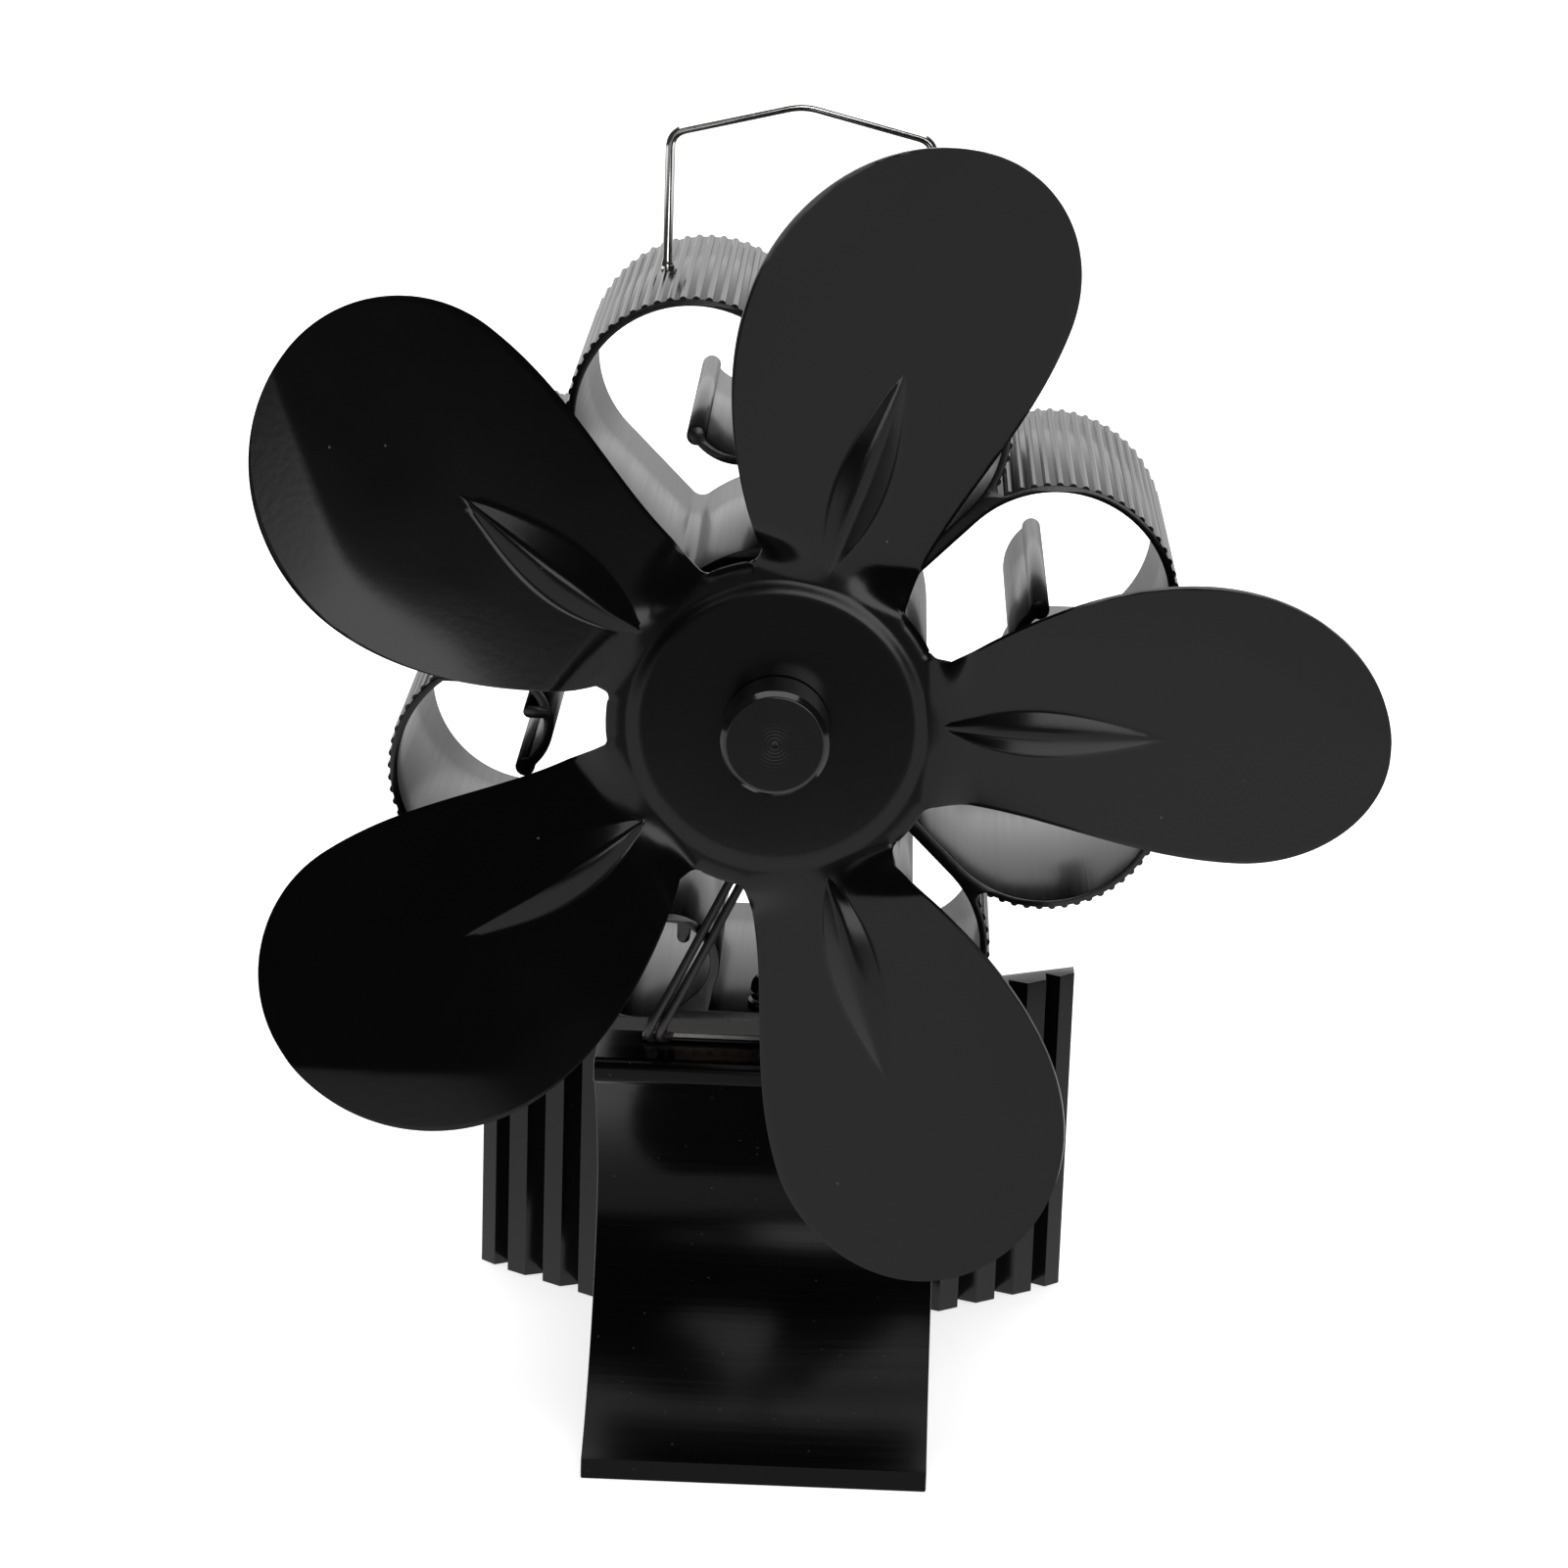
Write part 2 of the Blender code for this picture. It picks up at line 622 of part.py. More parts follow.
def arm_and_ring():
    """The cavity's edge along an arm, the fillet at its foot, and the ring up to the centre line."""
    reach = RING_OUTER + ARM_FILLET
    lift = ARM_THICKNESS / 2 + ARM_FILLET
    along = math.sqrt(reach**2 - lift**2)
    diagonal = math.sqrt(0.5)
    fillet = ((along - lift) * diagonal, (along + lift) * diagonal)
    foot = bearing(fillet, (0, 0))
    path = arc(fillet, ARM_FILLET, 315, foot, 4)
    return path + arc((0, 0), RING_OUTER, foot - 180, 90, 5)[1:]


def lobe_wall(start, end, steps):
    return arc((LOBE_SPREAD, LOBE_REACH), LOBE_INNER, start, end, steps)


def petal_cavity():
    """The space in one petal, (across, along), with the two hooks on their stem."""
    centre = (PETAL_HOOK_ACROSS, PETAL_HOOK_ALONG)
    half_stem = STEM_THICKNESS / 2
    start = FULL_TURN - math.degrees(math.acos(-centre[0] / PETAL_HOOK_RADIUS))
    inner = PETAL_HOOK_RADIUS - HOOK_WALL
    stem_foot = FULL_TURN - math.degrees(math.acos((half_stem - centre[0]) / inner))
    tab = (PETAL_TAB_ACROSS, PETAL_TAB_ALONG)
    half = hook(centre, PETAL_HOOK_RADIUS, start, PETAL_HOOK_END, tab, stem_foot)
    stem_top = 180 - math.degrees(math.acos((LOBE_SPREAD - half_stem) / LOBE_INNER))
    half += lobe_wall(stem_top, -45, 14)
    return mirrored(half + arm_and_ring())


def base_cavity():
    """The space above the cold plate, with a hook standing on the plate on each side."""
    centre = (BASE_HOOK_ACROSS, BASE_HOOK_ALONG)
    basin = (BASIN_ACROSS, BASIN_ALONG)
    apart = math.dist(basin, (LOBE_SPREAD, LOBE_REACH))
    basin_radius = LOBE_INNER - apart
    inner = BASE_HOOK_RADIUS - HOOK_WALL
    meeting = circles_meet(basin, basin_radius, centre, inner, -1)
    tab = (BASE_TAB_ACROSS, BASE_TAB_ALONG)
    half = [(BASE_HOOK_FOOT, PLATE_TO_AXIS)]
    finish_angle = bearing(centre, meeting)
    half += hook(centre, BASE_HOOK_RADIUS, BASE_HOOK_START, BASE_HOOK_END, tab, finish_angle)
    tangent = bearing((LOBE_SPREAD, LOBE_REACH), basin)
    half += arc(basin, basin_radius, bearing(basin, meeting), tangent, 10)[1:]
    half += lobe_wall(tangent, -45, 7)[1:]
    return mirrored(half + arm_and_ring())


def knurled(start, end):
    """The outer side of one lobe, with its small ribs, from one angle to the other."""
    centre = (LOBE_SPREAD, LOBE_REACH)
    count = round(math.radians(end - start) * LOBE_OUTER / RIB_PITCH)
    step = (end - start) / count
    path = []
    for rib in range(count):
        first = start + rib * step
        path += arc(centre, LOBE_OUTER, first, first, 1)[:1]
        for share in RIB_TOP_SHARES:
            top = first + share * step
            path += arc(centre, LOBE_OUTER + RIB_HEIGHT, top, top, 1)[:1]
    return path + arc(centre, LOBE_OUTER, end, end, 1)[:1]


def cooler_outline():
    """The outer edge: three full petals, and the lowest one ending on the cold plate."""
    diagonal = JUNCTION_REACH * math.sqrt(0.5)
    junction = (diagonal, diagonal)
    start = bearing((LOBE_SPREAD, LOBE_REACH), junction) - FULL_TURN + 2
    cusp = 180 - math.degrees(math.acos(LOBE_SPREAD / LOBE_OUTER))
    lobe = knurled(start, cusp - 1)
    cusp_along = LOBE_REACH + math.sqrt(LOBE_OUTER**2 - LOBE_SPREAD**2)
    petal = [junction, *lobe, (0, cusp_along)]
    petal += [(-across, along) for across, along in reversed(lobe)]
    half_plate = STAND_WIDTH / 2
    plate_angle = math.degrees(math.acos((half_plate - LOBE_SPREAD) / LOBE_OUTER))
    wall = knurled(start, plate_angle)
    base = [junction, *wall, (half_plate, PLATE_TO_AXIS + COLD_PLATE)]
    base += [(-across, along) for across, along in reversed(base[1:])]
    outline = []
    for quarter, points in enumerate((petal, petal, base, petal)):
        outline += turn_outline(points, quarter)
    return outline


def heat_sink():
    bore = arc((0, 0), RING_INNER, 0, FULL_TURN, 40)[:-1]
    outlines = [cooler_outline(), bore, turn_outline(base_cavity(), 2)]
    outlines += [turn_outline(petal_cavity(), quarter) for quarter in (0, 1, 3)]
    mesh = extruded(outlines, COOLER_DEPTH)
    centre = (0, COOLER_DEPTH / 2, AXIS_HEIGHT)
    obj = place("heat_sink", mesh, BLACK_ANODISED, location=centre, rotation=FACE_BACK)
    for end, depth in BOLT_PLACES.items():
        centre = (0, depth, PLATE_BOTTOM)
        name = f"plate_hole_{end}"
        cut(obj, cylinder_cutter(name, BOLT_RADIUS + FIT_GAP, 2 * COLD_PLATE + OVERRUN, centre))
    for side, across in (("left", -HANDLE_SPREAD), ("right", HANDLE_SPREAD)):
        centre = (across, HANDLE_DEPTH, handle_wall_height())
        name = f"handle_hole_{side}"
        length = 2 * (LOBE_WALL + RIB_HEIGHT) + OVERRUN
        cut(obj, cylinder_cutter(name, HANDLE_RADIUS + FIT_GAP, length, centre, sides=12))


def handle_wall_height():
    """The height of the lobe's wall where a leg of the handle goes through it."""
    middle = (LOBE_INNER + LOBE_OUTER) / 2
    rise = math.sqrt(middle**2 - (HANDLE_SPREAD - LOBE_SPREAD) ** 2)
    return AXIS_HEIGHT + LOBE_REACH + rise


# Clamp bolts


def clamp_bolts():
    for end, depth in BOLT_PLACES.items():
        level = PLATE_TOP + FIT_GAP
        washer = ring_profile(BOLT_RADIUS + FIT_GAP, WASHER_RADIUS, -WASHER_THICKNESS, 0)
        obj = turned(f"clamp_washer_{end}", washer, BLACK_STEEL, closed=True, steps=SMALL_STEPS)
        obj.location = (0, depth, level)
        obj.rotation_euler = (0, 0, 0)
        level += WASHER_THICKNESS + FIT_GAP
        lock_washer(end, depth, level)
        level += LOCK_WASHER_THICKNESS + FIT_GAP
        length = level - STAND_HEIGHT + TOP_PLATE - BOLT_END
        profile = button_head(BOLT_RADIUS, BOLT_HEAD_RADIUS, BOLT_HEAD_HEIGHT, length)
        bolt = turned(f"clamp_bolt_{end}", profile, BLACK_STEEL, steps=SMALL_STEPS)
        bolt.location = (0, depth, level)
        bolt.rotation_euler = (0, 0, 0)


def lock_washer(end, depth, level):
    """A spring washer: a ring split on one side."""
    split = math.degrees(LOCK_WASHER_SPLIT / LOCK_WASHER_RADIUS) / 2
    outer = arc((0, 0), LOCK_WASHER_RADIUS, split, FULL_TURN - split, SMALL_STEPS)
    inner = arc((0, 0), BOLT_RADIUS + FIT_GAP, FULL_TURN - 2 * split, 2 * split, SMALL_STEPS)
    mesh = extruded([outer + inner], LOCK_WASHER_THICKNESS)
    centre = (0, depth, level + LOCK_WASHER_THICKNESS / 2)
    place(f"clamp_lock_washer_{end}", mesh, BLACK_STEEL, location=centre)


# Motor


def motor_strap():
    """A bar across the ring's bore, with rounded ends, that carries the motor."""
    radius = RING_INNER - FIT_GAP
    half = STRAP_HEIGHT / 2
    corner = math.degrees(math.asin(half / radius))
    outline = arc((0, 0), radius, -corner, corner, 8)
    outline += arc((0, 0), radius, 180 - corner, 180 + corner, 8)
    holes = [arc((0, 0), MOTOR_BOSS_RADIUS + FIT_GAP, 0, FULL_TURN, 24)[:-1]]
    for across in (-MOTOR_SCREW_SPREAD, MOTOR_SCREW_SPREAD):
        holes.append(arc((across, 0), MOTOR_SCREW_RADIUS + FIT_GAP, 0, FULL_TURN, 16)[:-1])
    mesh = extruded([outline, *holes], STRAP_THICKNESS)
    centre = (0, STRAP_INSET + STRAP_THICKNESS / 2, AXIS_HEIGHT)
    place("motor_strap", mesh, BLACK_STEEL, location=centre, rotation=FACE_BACK)


def motor_can(axis):
    """The drawn steel can: front wall with a boss for the bearing, open at the back."""
    seat = SHAFT_RADIUS + FIT_GAP + BEARING_WALL + FIT_GAP
    front = MOTOR_FRONT
    inside = front + MOTOR_WALL
    boss = front - MOTOR_BOSS_LENGTH
    profile = [
        (seat, boss),
        (MOTOR_BOSS_RADIUS, boss),
        (MOTOR_BOSS_RADIUS, front),
        (MOTOR_RADIUS - MOTOR_WALL, front),
        (MOTOR_RADIUS, inside),
        (MOTOR_RADIUS, MOTOR_BACK),
        (MOTOR_RADIUS - MOTOR_WALL, MOTOR_BACK),
        (MOTOR_RADIUS - MOTOR_WALL, inside),
        (seat, inside),
    ]
    obj = turned("motor_can", profile, PLATED_STEEL, closed=True, centre=axis, steps=40)
    for side, across in (("left", -MOTOR_SCREW_SPREAD), ("right", MOTOR_SCREW_SPREAD)):
        centre = (across, front, AXIS_HEIGHT)
        name = f"can_hole_{side}"
        length = 2 * MOTOR_WALL + OVERRUN
        radius = MOTOR_SCREW_RADIUS + FIT_GAP
        cut(obj, cylinder_cutter(name, radius, length, centre, FACE_BACK, sides=16))


def motor_screws():
    head_seat = STRAP_INSET - FIT_GAP
    profile = button_head(
        MOTOR_SCREW_RADIUS, MOTOR_SCREW_HEAD, MOTOR_SCREW_HEAD_HEIGHT, MOTOR_SCREW_LENGTH
    )
    for side, across in (("left", -MOTOR_SCREW_SPREAD), ("right", MOTOR_SCREW_SPREAD)):
        turned(
            f"motor_screw_{side}",
            profile,
            PLATED_STEEL,
            steps=SMALL_STEPS,
            centre=(across, head_seat, AXIS_HEIGHT),
        )


def motor_inside(axis, rotor):
    magnet_outer = MOTOR_RADIUS - MOTOR_WALL - FIT_GAP
    magnet_inner = magnet_outer - MAGNET_THICKNESS
    magnet_middle = MOTOR_FRONT + MAGNET_INSET + MAGNET_LENGTH / 2
    for side, facing in (("left", 180), ("right", 0)):
        low, high = facing - MAGNET_HALF_ANGLE, facing + MAGNET_HALF_ANGLE
        outline = arc((0, 0), magnet_outer, low, high, 12)
        outline += arc((0, 0), magnet_inner, high, low, 12)
        mesh = extruded([outline], MAGNET_LENGTH)
        centre = (0, magnet_middle, AXIS_HEIGHT)
        place(f"motor_magnet_{side}", mesh, FERRITE, location=centre, rotation=FACE_BACK)
    bearing_inner = SHAFT_RADIUS + FIT_GAP
    bearing_outer = bearing_inner + BEARING_WALL
    front_bearing = MOTOR_FRONT - MOTOR_BOSS_LENGTH
    rear_bearing = MOTOR_BACK + FIT_GAP - (BEARING_LENGTH - MOTOR_CAP) / 2
    for end, front in (("front", front_bearing), ("rear", rear_bearing)):
        profile = ring_profile(bearing_inner, bearing_outer, front, front + BEARING_LENGTH)
        turned(f"motor_bearing_{end}", profile, BRONZE, closed=True, centre=axis, steps=SMALL_STEPS)
    cap_front = MOTOR_BACK + FIT_GAP
    seat = bearing_outer + FIT_GAP
    profile = ring_profile(seat, MOTOR_RADIUS, cap_front, cap_front + MOTOR_CAP)
    turned("motor_end_cap", profile, DARK_NYLON, closed=True, centre=axis, steps=40)
    armature(rotor, magnet_inner, magnet_middle)
    commutator_front = magnet_middle + ARMATURE_LENGTH / 2 + FIT_GAP
    profile = ring_profile(
        SHAFT_RADIUS + FIT_GAP,
        COMMUTATOR_RADIUS,
        commutator_front,
        commutator_front + COMMUTATOR_LENGTH,
    )
    turned("motor_commutator", profile, COPPER, closed=True, parent=rotor, steps=SMALL_STEPS)
    brush_middle = commutator_front + COMMUTATOR_LENGTH / 2
    reach = COMMUTATOR_RADIUS + FIT_GAP + BRUSH_LENGTH / 2
    for side, across in (("left", -reach), ("right", reach)):
        size = (BRUSH_LENGTH, BRUSH_WIDTH, BRUSH_WIDTH)
        box(f"motor_brush_{side}", size, (across, brush_middle, AXIS_HEIGHT), GRAPHITE)
    tab_middle = cap_front + MOTOR_CAP + FIT_GAP + TERMINAL_LENGTH / 2
    for side, across in (("left", -TERMINAL_SPREAD), ("right", TERMINAL_SPREAD)):
        size = (TERMINAL_WIDTH, TERMINAL_LENGTH, TERMINAL_THICKNESS)
        centre = (across, tab_middle, AXIS_HEIGHT - TERMINAL_DROP)
        box(f"motor_terminal_{side}", size, centre, BRONZE)


def armature(rotor, magnet_inner, middle):
    """The slotted core: three poles with wide shoes on narrow necks."""
    outer = magnet_inner - ARMATURE_GAP
    core = ARMATURE_CORE_RADIUS
    pole = FULL_TURN / ARMATURE_SLOTS
    shoe = pole * (1 - ARMATURE_SLOT_SHARE) / 2
    neck = pole * ARMATURE_NECK_SHARE / 2
    shoe_root = outer * ARMATURE_FLANGE_SHARE
    neck_outer = math.degrees(math.asin(core * math.sin(math.radians(neck)) / shoe_root))
    outline = []
    for i in range(ARMATURE_SLOTS):
        facing = i * pole
        outline += arc((0, 0), core, facing - neck, facing - neck, 1)[:1]
        outline += arc((0, 0), shoe_root, facing - neck_outer, facing - neck_outer, 1)[:1]
        outline += arc((0, 0), outer, facing - shoe, facing + shoe, 8)
        outline += arc((0, 0), shoe_root, facing + neck_outer, facing + neck_outer, 1)[:1]
        outline += arc((0, 0), core, facing + neck, facing + neck, 1)[:1]
    bore = arc((0, 0), SHAFT_RADIUS + FIT_GAP, 0, FULL_TURN, 16)[:-1]
    mesh = extruded([outline, bore], ARMATURE_LENGTH)
    centre = (0, middle, 0)
    place("motor_armature", mesh, COPPER, location=centre, rotation=FACE_BACK, parent=rotor)


# Rotor


def wide_edge(along):
    """How far the blade reaches across on its wide side, at a distance along its axis."""
    if along < WIDE_PLACE:
        share = max(along - HUB_RADIUS, 0) / (WIDE_PLACE - HUB_RADIUS)
        return WIDE_ROOT + (WIDE_REACH - WIDE_ROOT) * math.sin(share * math.pi / 2)
    share = (along - WIDE_PLACE) / (ROTOR_RADIUS - WIDE_PLACE)
    return WIDE_REACH * math.sqrt(max(1 - share**2, 0))


def slim_edge(along):
    """The same on the slim side."""
    if along < SLIM_PLACE:
        share = max(along - HUB_RADIUS, 0) / (SLIM_PLACE - HUB_RADIUS)
        return SLIM_ROOT + (SLIM_REACH - SLIM_ROOT) * math.sin(share * math.pi / 2)
    share = (along - SLIM_PLACE) / (ROTOR_RADIUS - SLIM_PLACE)
    return SLIM_REACH * math.sqrt(max(1 - share**2, 0))


def ease(value):
    """A smooth step from 0 to 1."""
    value = min(max(value, 0), 1)
    return value * value * (3 - 2 * value)


def sheet_point(across, along):
    """The pressed sheet over one point of the plane: the wide side of a blade lies at low x."""
    radius = math.hypot(across, along)
    shoulder = (HUB_RADIUS - radius) / (HUB_RADIUS * (1 - HUB_FLAT_SHARE))
    rise = HUB_RISE * ease(shoulder)
    pitch = math.radians(BLADE_PITCH) * ease((along - PITCH_START) / (PITCH_FULL - PITCH_START))
    inside = max(wide_edge(along) - across, 0) if along > HUB_RADIUS else ROLL_WIDTH
    roll = ROLL_DROP * max(1 - inside / ROLL_WIDTH, 0) ** 2
    roll *= ease((along - HUB_RADIUS) / (PITCH_FULL - PITCH_START))
    emboss = EMBOSS_HEIGHT * max(1 - abs(across) / emboss_width(along), 0) * emboss_share(along)
    return Vector((-across, -rise - across * math.tan(pitch) + roll - emboss, along))


def emboss_share(along):
    """The rib's width and height along the blade, as a share of its largest: a pointed leaf."""
    share = (along - EMBOSS_START) / (EMBOSS_END - EMBOSS_START)
    return math.sin(math.pi * share) if 0 < share < 1 else 0


def emboss_width(along):
    least = EMBOSS_HALF_WIDTH * EMBOSS_EDGE_SHARE
    return max(EMBOSS_HALF_WIDTH * emboss_share(along), least)


def blade_columns(along, flare=0):
    """Places across the blade, slim side first, with three of them on the embossed rib."""
    rib = emboss_width(along)
    slim = max(slim_edge(along), 0) + flare
    wide = max(wide_edge(along), 0) + flare
    rib = min(rib, slim * EMBOSS_EDGE_SHARE, wide * EMBOSS_EDGE_SHARE)
    columns = [-rib - (slim - rib) * share for share in SLIM_COLUMN_SHARES]
    columns += [-rib, 0, rib]
    return columns + [rib + (wide - rib) * share for share in WIDE_COLUMN_SHARES]


def blade_stations():
    """Distances along the blade, close together at the root's fillet and at the tip."""
    root = [HUB_RADIUS + HUB_FILLET * share for share in FILLET_ROW_SHARES]
    start = root[-1]
    found = list(root)
    for i in range(1, BLADE_ROWS):
        found.append(start + (ROTOR_RADIUS - start) * math.sin(i / BLADE_ROWS * math.pi / 2))
    return found


def sector(shape):
    """One fifth of the sheet: a slice of the hub and its blade, about the blade's own axis."""
    half = math.pi / BLADE_COUNT
    root = blade_columns(HUB_RADIUS, HUB_FILLET)
    root_angles = [math.asin(across / HUB_RADIUS) for across in root]
    before = [-half + (root_angles[0] + half) * i / GAP_COLUMNS for i in range(GAP_COLUMNS)]
    after = [
        root_angles[-1] + (half - root_angles[-1]) * (i + 1) / GAP_COLUMNS
        for i in range(GAP_COLUMNS)
    ]
    rim_angles = before + root_angles + after
    even = [-half + 2 * half * i / (len(rim_angles) - 1) for i in range(len(rim_angles))]
    bore = BUSH_NOSE_RADIUS + FIT_GAP
    rows = []
    for share in (0, *HUB_ROW_SHARES):
        radius = bore + (HUB_RADIUS - bore) * share
        row = []
        for plain, rim in zip(even, rim_angles):
            angle = plain + (rim - plain) * share
            row.append(
                shape.verts.new(sheet_point(radius * math.sin(angle), radius * math.cos(angle)))
            )
        rows.append(row)
    for row, after_row in zip(rows, rows[1:]):
        for i in range(len(row) - 1):
            shape.faces.new((row[i], row[i + 1], after_row[i + 1], after_row[i]))
    joined = rows[-1][GAP_COLUMNS : GAP_COLUMNS + len(root)]
    for along in blade_stations():
        left = max(1 - (along - HUB_RADIUS) / HUB_FILLET, 0)
        flare = HUB_FILLET * (1 - math.sqrt(max(1 - left**2, 0)))
        row = [shape.verts.new(sheet_point(a, along)) for a in blade_columns(along, flare)]
        for i in range(len(row) - 1):
            shape.faces.new((joined[i], joined[i + 1], row[i + 1], row[i]))
        joined = row
    tip = shape.verts.new(sheet_point(0, ROTOR_RADIUS))
    for i in range(len(joined) - 1):
        shape.faces.new((joined[i], joined[i + 1], tip))


def fan_rotor(rotor):
    whole = bmesh.new()
    for blade in range(BLADE_COUNT):
        slice_shape = bmesh.new()
        sector(slice_shape)
        facing = math.radians(BLADE_START) + 2 * math.pi * blade / BLADE_COUNT
        turn = Matrix.Rotation(math.pi / 2 - facing, 4, "Y")
        bmesh.ops.transform(slice_shape, matrix=turn, verts=slice_shape.verts)
        mesh = bpy.data.meshes.new("blade_slice")
        slice_shape.to_mesh(mesh)
        slice_shape.free()
        whole.from_mesh(mesh)
        bpy.data.meshes.remove(mesh)
    bmesh.ops.remove_doubles(whole, verts=whole.verts, dist=MERGE_DISTANCE)
    bmesh.ops.recalc_face_normals(whole, faces=whole.faces)
    mesh = bpy.data.meshes.new("fan_rotor")
    whole.to_mesh(mesh)
    whole.free()
    location = (0, -ROTOR_DEPTH, 0)
    obj = place("fan_rotor", mesh, BLACK_PAINT, location=location, parent=rotor)
    sheet = obj.modifiers.new("sheet", "SOLIDIFY")
    sheet.thickness = SHEET
    sheet.offset = 0
    sheet.use_even_offset = False


def hub(rotor):
    """The turned bush behind the sheet, the knob in front of it, and the shaft through both."""
    bore = SHAFT_RADIUS + FIT_GAP
    flange_front = -SHEET_FRONT + SHEET / 2 + FIT_GAP
    nose_front = -SHEET_FRONT - SHEET / 2 - BUSH_NOSE
    neck_front = flange_front + BUSH_FLANGE
    bush_back = flange_front + BUSH_LENGTH
    bush = [
        (bore, nose_front),
        (BUSH_NOSE_RADIUS, nose_front),
        (BUSH_NOSE_RADIUS, flange_front),
        (BUSH_FLANGE_RADIUS, flange_front),
        (BUSH_FLANGE_RADIUS, neck_front),
        (BUSH_RADIUS, neck_front),
        (BUSH_RADIUS, bush_back),
        (bore, bush_back),
    ]
    turned("hub_bushing", bush, BLACK_ANODISED, closed=True, parent=rotor)
    knob_back = -SHEET_FRONT - SHEET / 2 - FIT_GAP
    knob_front = knob_back - KNOB_LENGTH
    pocket = BUSH_NOSE_RADIUS + FIT_GAP
    pocket_front = nose_front - FIT_GAP
    knob = [
        (0, knob_front),
        (KNOB_RADIUS - KNOB_CHAMFER, knob_front),
        (KNOB_RADIUS, knob_front + KNOB_CHAMFER),
        (KNOB_RADIUS, knob_back - KNOB_CHAMFER / 2),
        (KNOB_RADIUS - KNOB_CHAMFER / 2, knob_back),
        (pocket, knob_back),
        (pocket, pocket_front),
        (0, pocket_front),
    ]
    turned("hub_knob", knob, BLACK_ANODISED, parent=rotor, steps=36)
    shaft_back = MOTOR_BACK + FIT_GAP + MOTOR_CAP
    shaft = [(0, nose_front), (SHAFT_RADIUS, nose_front), (SHAFT_RADIUS, shaft_back)]
    turned("motor_shaft", [*shaft, (0, shaft_back)], POLISHED_STEEL, parent=rotor, steps=SMALL_STEPS)


# Handle and leads


def rounded_path(corners, radius, count):
    """The path through the corners, each inner one rounded by a curve of about the radius."""
    path = [Vector(corners[0])]
    for before, corner, after in zip(corners, corners[1:], corners[2:]):
        here = Vector(corner)
        start = here + (Vector(before) - here).normalized() * radius
        end = here + (Vector(after) - here).normalized() * radius
        for i in range(count + 1):
            t = i / count
            path.append(start * (1 - t) ** 2 + here * 2 * t * (1 - t) + end * t**2)
    return [*path, Vector(corners[-1])]


def carry_handle():
    shoulder = AXIS_HEIGHT + HANDLE_SHOULDER
    apex = AXIS_HEIGHT + HANDLE_APEX
    foot = handle_wall_height() - HANDLE_TAIL
    corners = [
        (-HANDLE_SPREAD, HANDLE_DEPTH, foot),
        (-HANDLE_SPREAD, HANDLE_DEPTH, shoulder),
        (0, HANDLE_DEPTH, apex),
        (HANDLE_SPREAD, HANDLE_DEPTH, shoulder),
        (HANDLE_SPREAD, HANDLE_DEPTH, foot),
    ]
    path = rounded_path(corners, HANDLE_BEND, 5)
    place("carry_handle", wire(path, HANDLE_RADIUS), POLISHED_STEEL)


def smooth(points, steps):
    """Points of a smooth curve through the given ones, its ends kept."""
    found = []
    spots = [Vector(p) for p in points]
    for i in range(len(spots) - 1):
        before, start = spots[max(i - 1, 0)], spots[i]
        end, after = spots[i + 1], spots[min(i + 2, len(spots) - 1)]
        for k in range(steps):
            t = k / steps
            found.append(
                (
                    2 * start
                    + (end - before) * t
                    + (2 * before - 5 * start + 4 * end - after) * t**2
                    + (3 * start - before - 3 * end + after) * t**3
                )
                / 2
            )
    return [*found, spots[-1]]


def leads():
    """Two leads from the module, up the cooler's face and through the ring to the motor's tabs."""
    pellets = STAND_HEIGHT + PAD_THICKNESS + CERAMIC_THICKNESS + PELLET_THICKNESS / 2 + 3 * FIT_GAP
    module_front = (STAND_DEPTH - MODULE_SIDE) / 2 - FIT_GAP
    tab = AXIS_HEIGHT - TERMINAL_DROP - TERMINAL_THICKNESS / 2 - FIT_GAP
    cap_back = MOTOR_BACK + FIT_GAP + MOTOR_CAP
    tab_middle = cap_back + FIT_GAP + TERMINAL_LENGTH / 2
    passage = AXIS_HEIGHT - (RING_INNER + MOTOR_RADIUS) / 2
    for name, start, across, end in (
        ("lead_negative", LEAD_START_ACROSS, LEAD_INNER_ACROSS, -TERMINAL_SPREAD),
        ("lead_positive", LEAD_START_ACROSS - LEAD_PAIR, LEAD_OUTER_ACROSS, TERMINAL_SPREAD),
    ):
        low = Vector((-start - LEAD_FLARE, -LEAD_STAND_OFF, PLATE_BOTTOM + LEAD_RADIUS))
        high = Vector((across, -LEAD_STAND_OFF, passage - LEAD_TURN))
        points = [(-start, module_front, pellets), (-start, module_front / 2, pellets)]
        points += [low.lerp(high, share) for share in LEAD_ROUTE_SHARES]
        points += [(across, share * MOTOR_FRONT, passage) for share in LEAD_FRONT_SHARES]
        points += [(across, share * cap_back, passage) for share in LEAD_BACK_SHARES]
        points += [((across + end) / 2, tab_middle, passage + LEAD_PAIR)]
        points += [(end, tab_middle, tab - 2 * LEAD_PAIR), (end, tab_middle, tab)]
        place(name, wire(smooth(points, LEAD_STEPS), LEAD_RADIUS), BLACK_SLEEVE)


clear_scene()
parts = new_collection("stove_fan")
cutters = new_collection("cutters")
rotor_axis = bpy.data.objects.new("rotor_axis", None)
rotor_axis.location = (0, 0, AXIS_HEIGHT)
parts.objects.link(rotor_axis)
axis_centre = (0, 0, AXIS_HEIGHT)

base_bracket()
rear_fin_block()
fin_screws()
module()
heat_sink()
clamp_bolts()
motor_strap()
motor_can(axis_centre)
motor_screws()
motor_inside(axis_centre, rotor_axis)
fan_rotor(rotor_axis)
hub(rotor_axis)
carry_handle()
leads()
